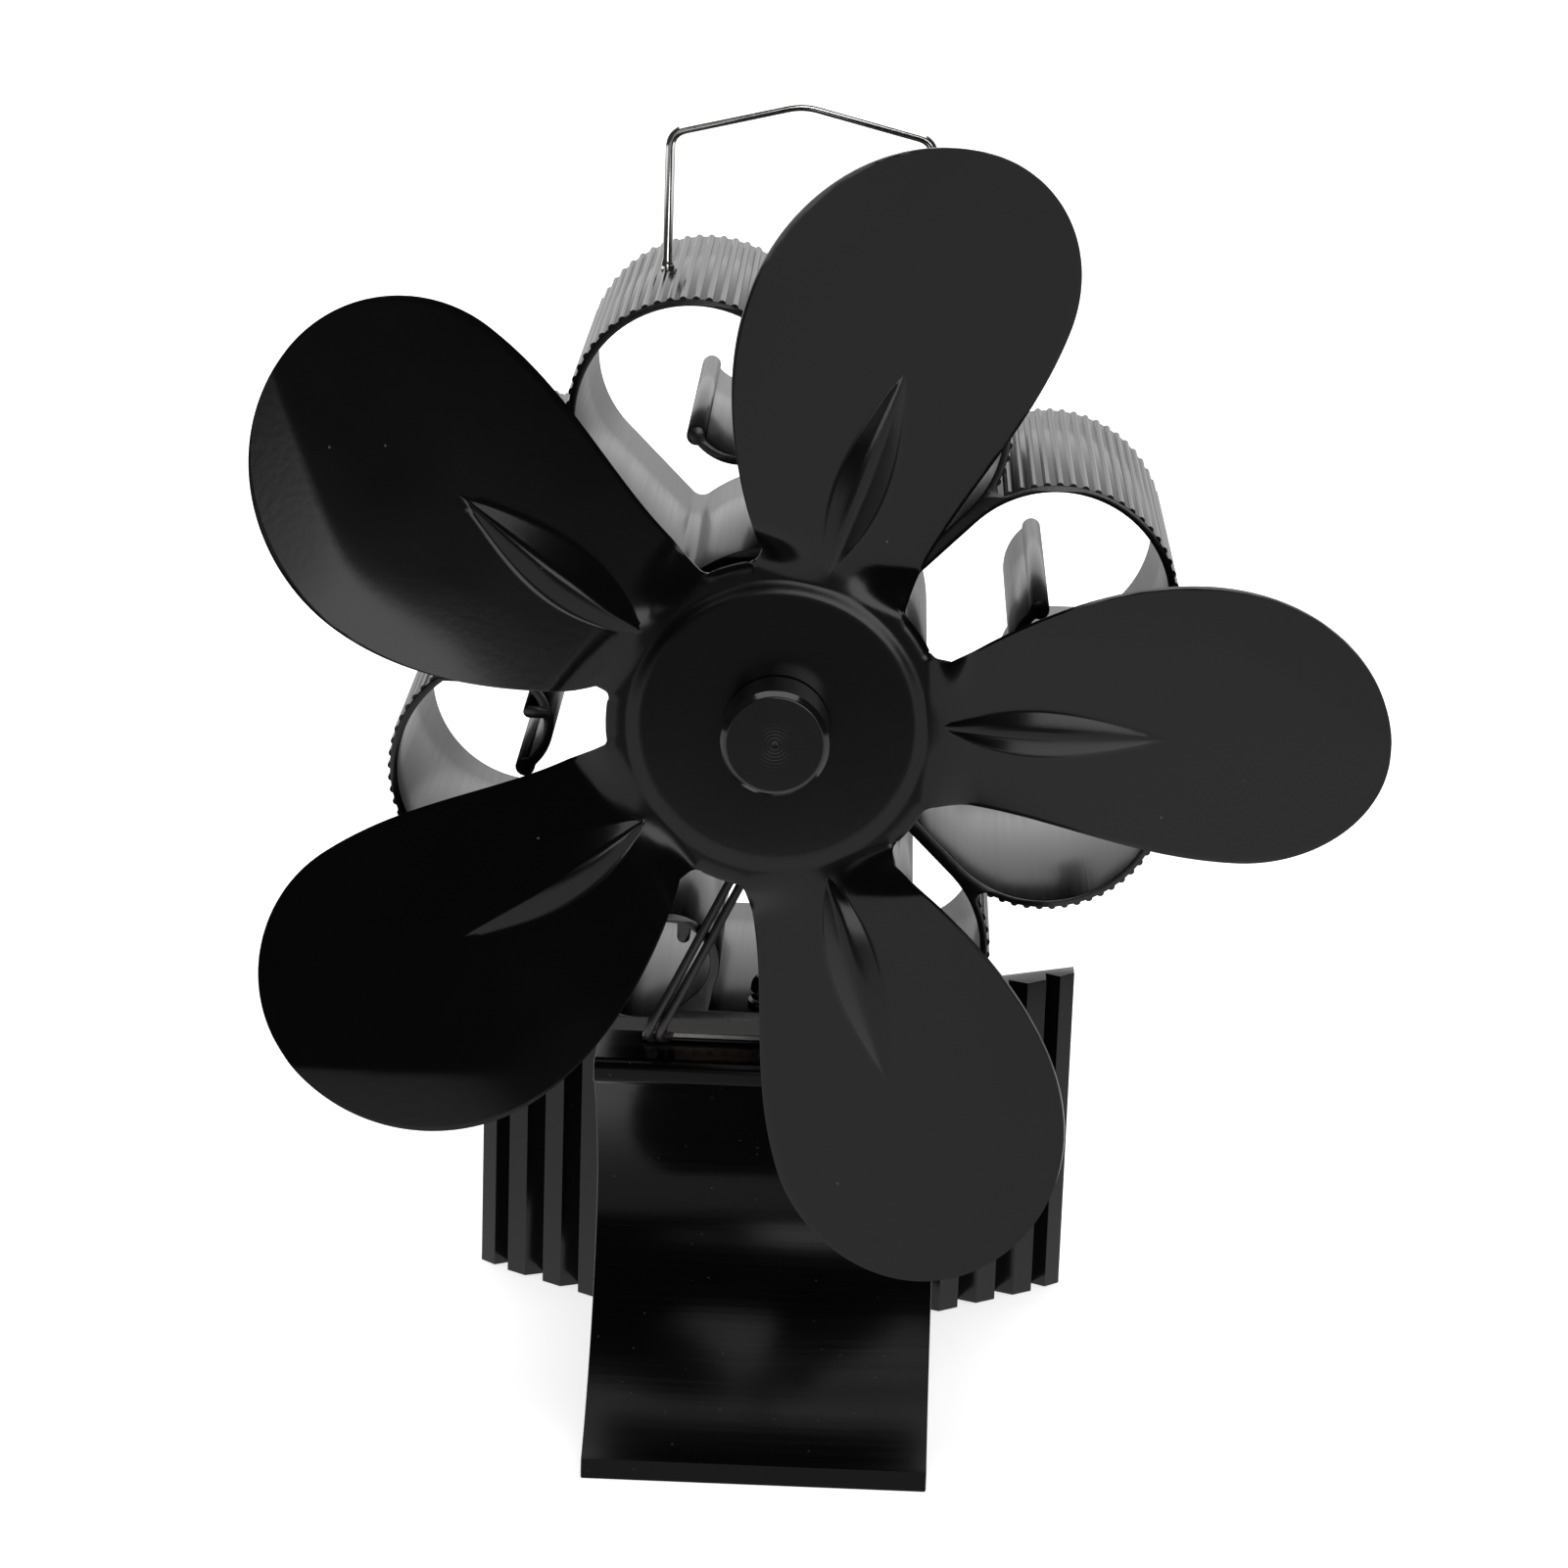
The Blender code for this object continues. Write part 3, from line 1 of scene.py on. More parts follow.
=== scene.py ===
# %% [markdown]
# # A stove fan, dressed for its portrait
# The fan stands on a hot stove. Heat climbs through the stand into a thin thermoelectric module, the
# petal-shaped cooler above keeps the module's other side cool, and the module drives a small motor.
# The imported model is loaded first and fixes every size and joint. x runs right, y to the back, z up.

# %% Load the frame
import json
import math

import bmesh
import bpy
from mathutils import Matrix, Vector


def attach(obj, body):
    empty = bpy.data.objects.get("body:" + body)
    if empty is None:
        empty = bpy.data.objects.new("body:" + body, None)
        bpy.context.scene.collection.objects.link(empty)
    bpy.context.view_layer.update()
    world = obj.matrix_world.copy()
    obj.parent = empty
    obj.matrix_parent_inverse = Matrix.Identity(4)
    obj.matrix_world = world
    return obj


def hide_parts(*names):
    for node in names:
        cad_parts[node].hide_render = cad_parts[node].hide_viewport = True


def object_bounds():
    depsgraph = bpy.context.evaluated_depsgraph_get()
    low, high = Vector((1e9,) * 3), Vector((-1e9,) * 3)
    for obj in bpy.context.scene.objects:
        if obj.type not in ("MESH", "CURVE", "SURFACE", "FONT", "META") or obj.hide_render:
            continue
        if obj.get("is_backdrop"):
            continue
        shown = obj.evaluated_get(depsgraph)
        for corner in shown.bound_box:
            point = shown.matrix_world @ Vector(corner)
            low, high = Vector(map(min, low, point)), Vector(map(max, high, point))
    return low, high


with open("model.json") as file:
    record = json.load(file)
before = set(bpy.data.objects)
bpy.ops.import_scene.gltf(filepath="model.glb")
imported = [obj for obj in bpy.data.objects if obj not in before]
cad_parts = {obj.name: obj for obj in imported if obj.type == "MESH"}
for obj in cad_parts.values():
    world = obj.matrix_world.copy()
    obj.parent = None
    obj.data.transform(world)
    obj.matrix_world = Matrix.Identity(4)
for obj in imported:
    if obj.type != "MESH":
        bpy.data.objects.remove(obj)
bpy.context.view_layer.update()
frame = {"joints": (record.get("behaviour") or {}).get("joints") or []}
MM = 0.001
AXIS = frame["joints"][0]["pos_m"][2] / MM

# %% [markdown]
# ## Camera
# The photograph was taken with a long lens, a little from above. Its place and direction come from a
# pinhole camera fitted to points of the model, so the script only writes them down.

# %% Camera
look = Vector((-0.0170, 0.9592, -0.2822)).normalized()
above = Vector((-0.0383, 0.2814, 0.9588))
aside = look.cross(above).normalized()
above = aside.cross(look)
lens = bpy.data.cameras.new("camera")
lens.sensor_width = 36
lens.lens = 106
camera = bpy.data.objects.new("camera", lens)
turn = Matrix((aside, above, -look)).transposed().to_4x4()
camera.matrix_world = Matrix.Translation(Vector((12.93, -674.3, 308.61)) * MM) @ turn
bpy.context.scene.collection.objects.link(camera)
bpy.context.scene.camera = camera
print("camera looks down by", round(math.degrees(math.asin(-look.z)), 1), "degrees")

# %% [markdown]
# ## One way to add any node
# Materials and Geometry Nodes are both trees of nodes. One function adds a node, sets its settings
# first and then fills its sockets with values or links, so the cells below stay short.


# %% Adding nodes
def put(tree, kind, sockets=None, **settings):
    """A new node. Its sockets, by name or number, take a value or the first output of a node."""
    node = tree.nodes.new(kind)
    for name, value in settings.items():
        setattr(node, name, value)
    for name, value in (sockets or {}).items():
        first = value.outputs[0] if isinstance(value, bpy.types.Node) else value
        source = getattr(first, "socket", first)
        if isinstance(source, bpy.types.NodeSocket):
            tree.links.new(source, node.inputs[name])
        else:
            node.inputs[name].default_value = source
    return node


# %% [markdown]
# ## Maths that reads as maths
# A pattern is a sum of masks. A small class wraps a socket and overloads the operators, so
# `0.3 + 0.2 * grain` adds its Math nodes by itself.


# %% The socket class
class Value:
    """One socket that carries a number, with operators that add Math nodes."""

    def __init__(self, tree, socket):
        self.tree, self.socket = tree, socket

    def maths(self, operation, *others):
        node = put(self.tree, "ShaderNodeMath", dict(enumerate((self, *others))), operation=operation)
        return Value(self.tree, node.outputs[0])

    def __add__(self, other):
        return self.maths("ADD", other)

    def __mul__(self, other):
        return self.maths("MULTIPLY", other)

    def __sub__(self, other):
        return self.maths("SUBTRACT", other)

    def __rsub__(self, other):
        return (self * -1) + other

    def __truediv__(self, other):
        return self.maths("DIVIDE", other)

    def __gt__(self, other):
        return self.maths("GREATER_THAN", other)

    def between(self, start, end):
        """0 up to the start, 1 from the end on, and a smooth climb from one to the other."""
        sockets = {"Value": self, "From Min": start, "From Max": end}
        node = put(self.tree, "ShaderNodeMapRange", sockets, interpolation_type="SMOOTHSTEP")
        return Value(self.tree, node.outputs[0])

    __radd__, __rmul__ = __add__, __mul__


# %% The material class
class Finish:
    """A material with one Principled shader, and the few patterns that the pieces need."""

    def __init__(self, name, colour, roughness, metallic=0.0, gloss=0.5):
        self.material = bpy.data.materials.new(name)
        self.material.use_nodes = True
        self.tree = self.material.node_tree
        self.shader = self.tree.nodes["Principled BSDF"]
        values = {"Base Color": (*colour, 1), "Roughness": roughness, "Metallic": metallic}
        for socket, value in {**values, "Specular IOR Level": gloss}.items():
            self.shader.inputs[socket].default_value = value
        self.place = put(self.tree, "ShaderNodeTexCoord").outputs["Object"]

    def node(self, kind, sockets=None, out=0, **settings):
        return Value(self.tree, put(self.tree, kind, sockets, **settings).outputs[out])

    def along(self, axis):
        """The object's own x, y or z at each point."""
        return self.node("ShaderNodeSeparateXYZ", {"Vector": self.place}, out=axis)

    def noise(self, scale, detail=2.0, stretch=(1, 1, 1)):
        """Soft noise in object space. A small stretch value draws it out along that axis."""
        where = self.node("ShaderNodeMapping", {"Vector": self.place, "Scale": stretch})
        return self.node("ShaderNodeTexNoise", {"Vector": where, "Scale": scale, "Detail": detail}, out="Fac")

    def specks(self, scale, size):
        """Sparse dust: 1 in small dots, 0 elsewhere."""
        cells = put(self.tree, "ShaderNodeTexVoronoi", {"Vector": self.place, "Scale": scale})
        chosen = self.node("ShaderNodeSeparateColor", {"Color": cells.outputs["Color"]})
        near = size - Value(self.tree, cells.outputs["Distance"])
        return (near > 0) * (chosen > 0.9)

    def drive(self, socket, value):
        self.tree.links.new(value.socket, self.shader.inputs[socket])

    def tint(self, mask, dark, light):
        """Base colour runs from one colour to the other by the mask."""
        sockets = {0: mask, 6: (*dark, 1), 7: (*light, 1)}
        self.drive("Base Color", self.node("ShaderNodeMix", sockets, out=2, data_type="RGBA"))

    def shade(self, mask, dark, light, colour):
        """Base colour runs from a darker to a lighter share of one colour by the mask."""
        self.tint(mask, [c * dark for c in colour], [min(c * light, 1) for c in colour])

    def rough(self, value):
        self.drive("Roughness", value)

    def bump(self, height, distance):
        self.drive("Normal", self.node("ShaderNodeBump", {"Height": height, "Distance": distance}))


# %% [markdown]
# ## Black anodised extrusions
# The cooler, the stand and the rear block are aluminium bars pushed through a die and anodised black.
# The die leaves fine streaks along the bar. A noise stretched along that axis gives them in
# roughness and bump, and the mirror-like look at a flat angle comes from the shader itself.

# %% Extruded aluminium
NEAR_BLACK = (0.003, 0.003, 0.003)


def anodised(name, stretch, gloss):
    finish = Finish(name, NEAR_BLACK, 0.2, gloss=gloss)
    streaks = finish.noise(1400, 3.0, stretch)
    broad = finish.noise(240, 2.0, stretch)
    finish.rough(0.11 + 0.12 * streaks + 0.07 * broad)
    finish.bump(streaks + 0.6 * broad, 0.00001)
    dust = finish.specks(700, 0.13)
    finish.tint(0.05 * streaks + 0.6 * dust, (0.0015, 0.0015, 0.0016), (0.06, 0.06, 0.062))
    return finish.material


cooler_finish = anodised("cooler anodised black", (1, 0.02, 1), 0.5)
stand_finish = anodised("stand anodised black", (0.02, 1, 1), 0.12)
block_finish = anodised("block anodised black", (1, 1, 0.02), 0.3)
print("extruded finishes", cooler_finish.name, stand_finish.name, block_finish.name)

# %% [markdown]
# ## Black paint on the pressed sheet
# The blade wheel is sprayed satin black. Paint is smooth but never flat: it has a faint orange-peel
# surface, a little dust in it, and its gloss varies slowly.

# %% Painted sheet
paint = Finish("sheet satin black", NEAR_BLACK, 0.2, gloss=0.29)
cloud = paint.noise(45, 3.0)
paint.rough(0.14 + 0.07 * cloud)
paint.bump(paint.noise(900, 2.0), 0.000006)
paint.tint(0.02 * cloud + 0.8 * paint.specks(260, 0.05), (0.0012, 0.0012, 0.0013), (0.1, 0.1, 0.1))
print("paint nodes", len(paint.tree.nodes))

# %% [markdown]
# ## Turned, plated and drawn metal
# A lathe leaves rings, a drawn wire has streaks along it and plating is nearly even. The rings are a
# sine of the distance from the shaft's axis, which runs along y at the height that the joint gives.
# They stand out in the middle of a face and grow faint towards its rim.


# %% Turned and plain metals
def turned_metal(name, colour, roughness, metallic, rings):
    finish = Finish(name, colour, roughness, metallic)
    sockets = {0: finish.place, 1: (1, 0, 1), 2: (0, 0, -AXIS * MM)}
    centred = finish.node("ShaderNodeVectorMath", sockets, operation="MULTIPLY_ADD")
    reach = finish.node("ShaderNodeVectorMath", {0: centred}, out="Value", operation="LENGTH")
    groove = (reach * (rings * 2 * math.pi)).maths("SINE")
    finish.rough(roughness - 0.03 + 0.06 * finish.noise(160, 2.0) + 0.02 * groove)
    finish.bump(groove * (1.15 - reach.between(0.001, 0.0045)), 0.000006)
    return finish.material


def plain_metal(name, colour, roughness, metallic=1.0, stretch=(1, 1, 1)):
    finish = Finish(name, colour, roughness, metallic)
    grain = finish.noise(900, 3.0, stretch)
    finish.rough(roughness - 0.05 + 0.1 * grain)
    finish.bump(grain, 0.000004)
    finish.shade(finish.noise(120, 2.0), 0.8, 1.15, colour)
    return finish.material


knob_finish = turned_metal("knob turned black", (0.006, 0.006, 0.007), 0.14, 0.0, 1900)
shaft_finish = turned_metal("shaft steel", (0.6, 0.6, 0.6), 0.2, 1.0, 2600)
wire_finish = plain_metal("handle bright wire", (0.86, 0.85, 0.83), 0.13, stretch=(1, 1, 0.03))
plated_finish = plain_metal("plated steel", (0.55, 0.55, 0.54), 0.3)
screw_finish = plain_metal("blackened steel", (0.02, 0.02, 0.022), 0.3, 0.9)
bronze_finish = plain_metal("sintered bronze", (0.6, 0.4, 0.2), 0.45)
copper_finish = plain_metal("copper", (0.75, 0.36, 0.2), 0.3)
print("metals", len(bpy.data.materials))

# %% [markdown]
# ## Non-metals
# The module's two plates are white ceramic, the pads graphite, the magnets ferrite, the motor's cap
# nylon and the leads sleeved in a soft black plastic. Each gets its own fine grain.


# %% Non-metals
def plain_solid(name, colour, roughness, grain_scale, depth):
    finish = Finish(name, colour, roughness)
    grain = finish.noise(grain_scale, 4.0)
    finish.rough(roughness - 0.08 + 0.16 * grain)
    finish.bump(grain, depth)
    finish.shade(grain, 0.75, 1.2, colour)
    return finish.material


ceramic_finish = plain_solid("alumina ceramic", (0.8, 0.8, 0.77), 0.5, 1500, 0.000004)
graphite_finish = plain_solid("graphite", (0.05, 0.05, 0.055), 0.6, 2500, 0.00001)
ferrite_finish = plain_solid("ferrite", (0.06, 0.06, 0.065), 0.65, 1800, 0.00001)
nylon_finish = plain_solid("dark nylon", (0.03, 0.03, 0.03), 0.5, 1200, 0.000008)
sleeve_finish = plain_solid("lead sleeve", (0.014, 0.014, 0.015), 0.4, 900, 0.000008)
print("all finishes", len(bpy.data.materials))

# %% [markdown]
# ## Shapes from outlines
# Extruded and pressed pieces start as a flat outline. Blender fills a 2D curve between its outlines
# and gives it a thickness and a small rounded edge. The sketch is drawn in millimetres, because the
# fill loses details that are only hundredths wide.


# %% Points and meshes
def polar(centre, radius, angle):
    """The point of a circle at an angle in degrees."""
    turn = math.radians(angle)
    return centre[0] + radius * math.cos(turn), centre[1] + radius * math.sin(turn)


def arc(centre, radius, start, end, count):
    """Points along an arc, both ends included, with its angles in degrees."""
    return [polar(centre, radius, start + (end - start) * i / count) for i in range(count + 1)]


def circle(centre, radius, count):
    return arc(centre, radius, 0, 360, count)[:-1]


def meshed(holder):
    """The object's evaluated mesh as a plain one. The object itself is removed."""
    bpy.context.view_layer.update()
    graph = bpy.context.evaluated_depsgraph_get()
    mesh = bpy.data.meshes.new_from_object(holder.evaluated_get(graph))
    bpy.data.objects.remove(holder, do_unlink=True)
    return mesh


def shown(name, data):
    holder = bpy.data.objects.new(name, data)
    bpy.context.scene.collection.objects.link(holder)
    return holder


def written(shape, mesh):
    """The bmesh written to the mesh, its faces turned outwards."""
    bmesh.ops.recalc_face_normals(shape, faces=shape.faces)
    shape.to_mesh(mesh)
    shape.free()
    return mesh


def cleaned(mesh, weld=None, added=None):
    """The mesh with near corners made one, or with another mesh added, its faces turned outwards."""
    shape = bmesh.new()
    shape.from_mesh(mesh)
    if added:
        shape.from_mesh(added)
    if weld:
        bmesh.ops.remove_doubles(shape, verts=shape.verts, dist=weld)
    return written(shape, mesh)


# %% Extrusions and pieces
NEAR = 0.002
# Sketch plane to world: outlines seen from the front run x, z, those from the side y, z.
FROM_FRONT = Matrix(((1, 0, 0), (0, 0, -1), (0, 1, 0))).to_4x4()
FROM_SIDE = Matrix(((0, 0, 1), (1, 0, 0), (0, 1, 0))).to_4x4()
FROM_ABOVE = Matrix.Identity(4)


def extruded(outlines, thickness, edge):
    """A mesh of flat outlines in mm, as thick along z, with its edges rounded by a small radius."""
    curve = bpy.data.curves.new("outline", "CURVE")
    curve.dimensions = "2D"
    curve.fill_mode = "BOTH"
    curve.extrude = thickness / 2 - edge
    curve.bevel_depth = edge
    curve.bevel_resolution = 1
    curve.offset = -edge
    for points in outlines:
        spline = curve.splines.new("POLY")
        spline.points.add(len(points) - 1)
        spline.use_cyclic_u = True
        for slot, (across, along) in zip(spline.points, points):
            slot.co = (across, along, 0, 1)
    return cleaned(meshed(shown("outline", curve)), NEAR)


def moved(mesh, turn, x=0.0, y=0.0, z=0.0):
    """The mesh, drawn in mm, turned and set in its place in metres."""
    mesh.transform(Matrix.Diagonal((MM, MM, MM, 1)) @ Matrix.Translation((x, y, z)) @ turn)
    mesh.update()
    return mesh


def about_axis(outlines, thickness, edge, y):
    """An extrusion along y with its middle at y, drawn from the front about the shaft's axis."""
    return moved(extruded(outlines, thickness, edge), FROM_FRONT, 0, y, AXIS)


def piece(name, mesh, finish, body, *nodes, angle=35):
    """A finished piece: smooth with sharp edges, on its body, in the place of its CAD nodes."""
    mesh.materials.clear()
    mesh.materials.append(finish)
    mesh.shade_smooth()
    mesh.set_sharp_from_angle(angle=math.radians(angle))
    made = shown(name, mesh)
    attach(made, body)
    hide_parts(*nodes)
    print(name, "has", sum(len(f.vertices) - 2 for f in mesh.polygons), "triangles")


# %% [markdown]
# ## Stand
# The stand is one extruded bar, as long as it is wide. Seen from the side it is a closed frame: a flat
# sole, an upright back, a top plate and a front that swings in like a tongue and out again to a foot.
# Two cubic curves draw that front, so the foot's highlight can run along it without a break.

# %% Curves of the stand
STAND_WIDTH, STAND_DEPTH, STAND_HEIGHT = 54, 55, 65.2
STAND_WALL, TOP_PLATE, LIP_THICKNESS, SOLE = 4, 4.6, 4.2, 3.3
TOE_Y, LIP_CORNER_Y, LIP_CORNER = -13.6, -0.4, 1.6


def lerp(start, end, shares):
    return tuple(a + (b - a) * share for a, b, share in zip(start, end, shares))


def bezier(start, first, second, end, count):
    found = []
    for i in range(count + 1):
        t = i / count
        weights = ((1 - t) ** 3, 3 * t * (1 - t) ** 2, 3 * t**2 * (1 - t), t**3)
        pairs = list(zip(weights, (start, first, second, end)))
        found.append(tuple(sum(weight * point[k] for weight, point in pairs) for k in (0, 1)))
    return found


def offset(points, distance):
    """The open path moved sideways, to the right of its own direction."""
    found = []
    for i, (x, y) in enumerate(points):
        before, after = points[max(i - 1, 0)], points[min(i + 1, len(points) - 1)]
        run = Vector((after[0] - before[0], after[1] - before[1])).normalized()
        found.append((x + run.y * distance, y - run.x * distance))
    return found


# %% Stand
toe, waist, lip = (TOE_Y, SOLE), (15, 36), (0, STAND_HEIGHT - LIP_THICKNESS)
tongue = bezier(toe, lerp(toe, waist, (0.44, 0.14)), lerp(toe, waist, (0.97, 0.57)), waist, 36)
tongue += bezier(waist, lerp(waist, lip, (0, 0.36)), lerp(waist, lip, (0.52, 0.68)), lip, 28)[1:]
side_view = [(TOE_Y, 0), *tongue]
side_view += arc((LIP_CORNER_Y, STAND_HEIGHT - LIP_CORNER - 1), LIP_CORNER, 270, 180, 8)
side_view += arc((LIP_CORNER_Y, STAND_HEIGHT - LIP_CORNER), LIP_CORNER, 180, 90, 8)
side_view += [(STAND_DEPTH, STAND_HEIGHT), (STAND_DEPTH, 0)]
ceiling, back = STAND_HEIGHT - TOP_PLATE, STAND_DEPTH - STAND_WALL
inner = [p for p in offset(tongue, STAND_WALL) if SOLE < p[1] < ceiling]
hollow = [(inner[0][0], SOLE), *inner, (inner[-1][0], ceiling), (back, ceiling), (back, SOLE)]
stand = moved(extruded([side_view, hollow], STAND_WIDTH, 0.25), FROM_SIDE)
piece("stand", stand, stand_finish, "stand", "base_bracket")

# %% [markdown]
# ## Rear fin block
# Behind the stand hangs a second bar, extruded upright: a flat plate with a wing on each side whose
# front steps back in four ribs. They give the hot stand more surface to the air.

# %% Rear fin block
GAP = 0.3
FIN_START, FIN_PITCH, FIN_STEP, FIN_RISE, FIN_COUNT, FIN_HEIGHT = 26.2, 6.4, 4.3, 1.4, 4, 57
FIN_FRONT, WING_END = 60, 50.3
plate_front = STAND_DEPTH + GAP
wing = [(FIN_START - 3.2, plate_front), (FIN_START, plate_front + 3.2)]
for rib in range(FIN_COUNT):
    left, valley = FIN_START + rib * FIN_PITCH, FIN_FRONT + rib * FIN_STEP
    right = min(left + FIN_PITCH, WING_END)
    top = valley - FIN_RISE
    wing += [(left, valley), ((left + right) / 2, top), (right, top + FIN_STEP / 2)]
wing += [(WING_END, FIN_FRONT + FIN_COUNT * FIN_STEP), (FIN_START - 4, FIN_FRONT + 3.2)]
wing += [(FIN_START - 8, plate_front + 4)]
plan = wing + [(-x, y) for x, y in reversed(wing)]
block = moved(extruded([plan], FIN_HEIGHT, 0.2), FROM_ABOVE, z=FIN_HEIGHT / 2)
piece("fin_block", block, block_finish, "stand", "rear_fin_block")

# %% [markdown]
# ## Cooler
# The cooler is the showpiece of the die maker: a ring for the motor in the middle, four arms out to
# heart-shaped petals, and curled hooks inside them. The outline is made of arcs that meet, first one
# petal's cavity and then its turned copies. It is extruded along y with a fine rounded edge, which
# gives the thin bright lines along the rims.

# %% Cooler sizes and the hooks
COOLER_DEPTH, PLATE_TO_AXIS, COLD_PLATE = 55, 51.9, 3.8
PLATE_TOP = AXIS - PLATE_TO_AXIS
RING_OUTER, RING_INNER, ARM, FILLET = 22.2, 20.2, 2.2, 2
LOBE = (14.6, 40.7)
LOBE_INNER = (LOBE[1] - LOBE[0]) / math.sqrt(2) - ARM / 2
LOBE_OUTER = LOBE_INNER + 1.15
HOOK_WALL, BULB, TAB, HALF_STEM = 1.5, 1.5, 1, 0.8


def bearing(centre, point):
    return math.degrees(math.atan2(point[1] - centre[1], point[0] - centre[0])) % 360


def under(centre, radius, across):
    """The angle at which a circle's lower half has the place across."""
    return 360 - math.degrees(math.acos((across - centre[0]) / radius))


def hook(centre, radius, start, end, tab, finish_angle):
    """A curled hook: its outer side, the bulb at its end, and its inner side with a small tab."""
    inside, middle = radius - HOOK_WALL, radius - HOOK_WALL / 2
    bulb = polar(centre, middle, end)

    def stop(reach):
        return end - math.degrees(math.acos((reach**2 + middle**2 - BULB**2) / (2 * reach * middle)))

    first = bearing(bulb, polar(centre, radius, stop(radius)))
    last = bearing(bulb, polar(centre, inside, stop(inside)))
    last += 360 if last < first else 0
    path = arc(centre, radius, start, stop(radius), 26)
    path += arc(bulb, BULB, first, last, 14)[1:-1]
    path += arc(centre, inside, stop(inside), under(centre, inside, tab[0] + TAB), 14)
    path += arc(tab, TAB, 0, 180, 10)
    return path + arc(centre, inside, under(centre, inside, tab[0] - TAB), finish_angle, 14)


# %% The cooler's cavities
def arm_and_ring():
    """The cavity's edge along an arm, the fillet at its foot, and the ring up to the centre line."""
    reach, lift = RING_OUTER + FILLET, ARM / 2 + FILLET
    along = math.sqrt(reach**2 - lift**2)
    fillet = ((along - lift) * math.sqrt(0.5), (along + lift) * math.sqrt(0.5))
    foot_angle = bearing(fillet, (0, 0))
    path = arc(fillet, FILLET, 315, foot_angle, 10)
    return path + arc((0, 0), RING_OUTER, foot_angle - 180, 90, 16)[1:]


def mirrored(half):
    return half + [(-across, along) for across, along in reversed(half) if across > NEAR]


def petal_cavity():
    centre, radius = (7.2, 43), 8.7
    stem_foot = under(centre, radius - HOOK_WALL, HALF_STEM)
    half = hook(centre, radius, under(centre, radius, 0), 326, (5.1, 38), stem_foot)
    stem_top = 180 - math.degrees(math.acos((LOBE[0] - HALF_STEM) / LOBE_INNER))
    return mirrored(half + arc(LOBE, LOBE_INNER, stem_top, -45, 56) + arm_and_ring())


def base_cavity():
    centre, radius, basin = (16, 44.4), 8, (20.5, 42)
    basin_radius = LOBE_INNER - math.dist(basin, LOBE)
    reach = math.dist(basin, centre)
    along = (basin_radius**2 - (radius - HOOK_WALL) ** 2 + reach**2) / (2 * reach)
    across = math.sqrt(basin_radius**2 - along**2)
    run = Vector((centre[0] - basin[0], centre[1] - basin[1])) / reach
    meeting = Vector(basin) + run * along - Vector((-run.y, run.x)) * across
    half = [(9.6, PLATE_TO_AXIS)]
    half += hook(centre, radius, 155, 304, (13.7, 40.1), bearing(centre, meeting))
    tangent = bearing(LOBE, basin)
    half += arc(basin, basin_radius, bearing(basin, meeting), tangent, 26)[1:]
    return mirrored(half + arc(LOBE, LOBE_INNER, tangent, -45, 26)[1:] + arm_and_ring())


def turned_outline(points, quarters):
    for _ in range(quarters):
        points = [(-along, across) for across, along in points]
    return points


print("cavity points", len(petal_cavity()), len(base_cavity()))

# %% The cooler's outer edge and body
junction = (44.5 * math.sqrt(0.5),) * 2
lobe_start = bearing(LOBE, junction) - 358
cusp = 180 - math.degrees(math.acos(LOBE[0] / LOBE_OUTER))
plate_angle = math.degrees(math.acos((STAND_WIDTH / 2 - LOBE[0]) / LOBE_OUTER))
lobe_edge = arc(LOBE, LOBE_OUTER, lobe_start, cusp - 1, 70)
cusp_point = (0, LOBE[1] + math.sqrt(LOBE_OUTER**2 - LOBE[0] ** 2))
petal = [junction, *lobe_edge, cusp_point] + [(-x, z) for x, z in reversed(lobe_edge)]
base = [*arc(LOBE, LOBE_OUTER, lobe_start, plate_angle, 44), (STAND_WIDTH / 2, PLATE_TO_AXIS + COLD_PLATE)]
base = [junction, *base] + [(-x, z) for x, z in reversed(base)]
cooler_edge = []
for quarter, points in enumerate((petal, petal, base, petal)):
    cooler_edge += turned_outline(points, quarter)
cavities = [turned_outline(petal_cavity(), quarter) for quarter in (0, 1, 3)]
outlines = [cooler_edge, circle((0, 0), RING_INNER, 120), turned_outline(base_cavity(), 2), *cavities]
cooler = about_axis(outlines, COOLER_DEPTH, 0.14, COOLER_DEPTH / 2)
print("cooler body", len(cooler.polygons), "faces")

# %% [markdown]
# ## Ribs on the petals
# The die also leaves fine half-round ribs all over the petals' outer sides. They follow the lobes'
# outer arcs, so Geometry Nodes set them out: each arc is resampled at the rib pitch and carries a thin
# rod half sunk in the wall. The tree ends in real geometry and a material, because an export has no
# instances.


# %% Geometry Nodes helpers
def new_tree(name, sizes):
    """A tree with a geometry in and out, and one named input for each size."""
    tree = bpy.data.node_groups.new(name, "GeometryNodeTree")
    tree.interface.new_socket("Geometry", in_out="INPUT", socket_type="NodeSocketGeometry")
    for label, kind in {**sizes, "Material": "Material"}.items():
        tree.interface.new_socket(label, in_out="INPUT", socket_type=f"NodeSocket{kind}")
    tree.interface.new_socket("Geometry", in_out="OUTPUT", socket_type="NodeSocketGeometry")
    return tree, tree.nodes.new("NodeGroupInput").outputs


def close_tree(tree, given, points, instance, turn=(0, 0, 0), merge=None):
    """The tree's end: the instance on each point, made real, with one material."""
    sockets = {"Points": points, "Instance": instance, "Rotation": turn}
    real = put(tree, "GeometryNodeRealizeInstances", {0: put(tree, "GeometryNodeInstanceOnPoints", sockets)})
    if merge is not None:
        real = put(tree, "GeometryNodeMergeByDistance", {"Geometry": real, "Distance": merge})
    dressed = put(tree, "GeometryNodeSetMaterial", {"Geometry": real, "Material": given["Material"]})
    put(tree, "NodeGroupOutput", {"Geometry": dressed})


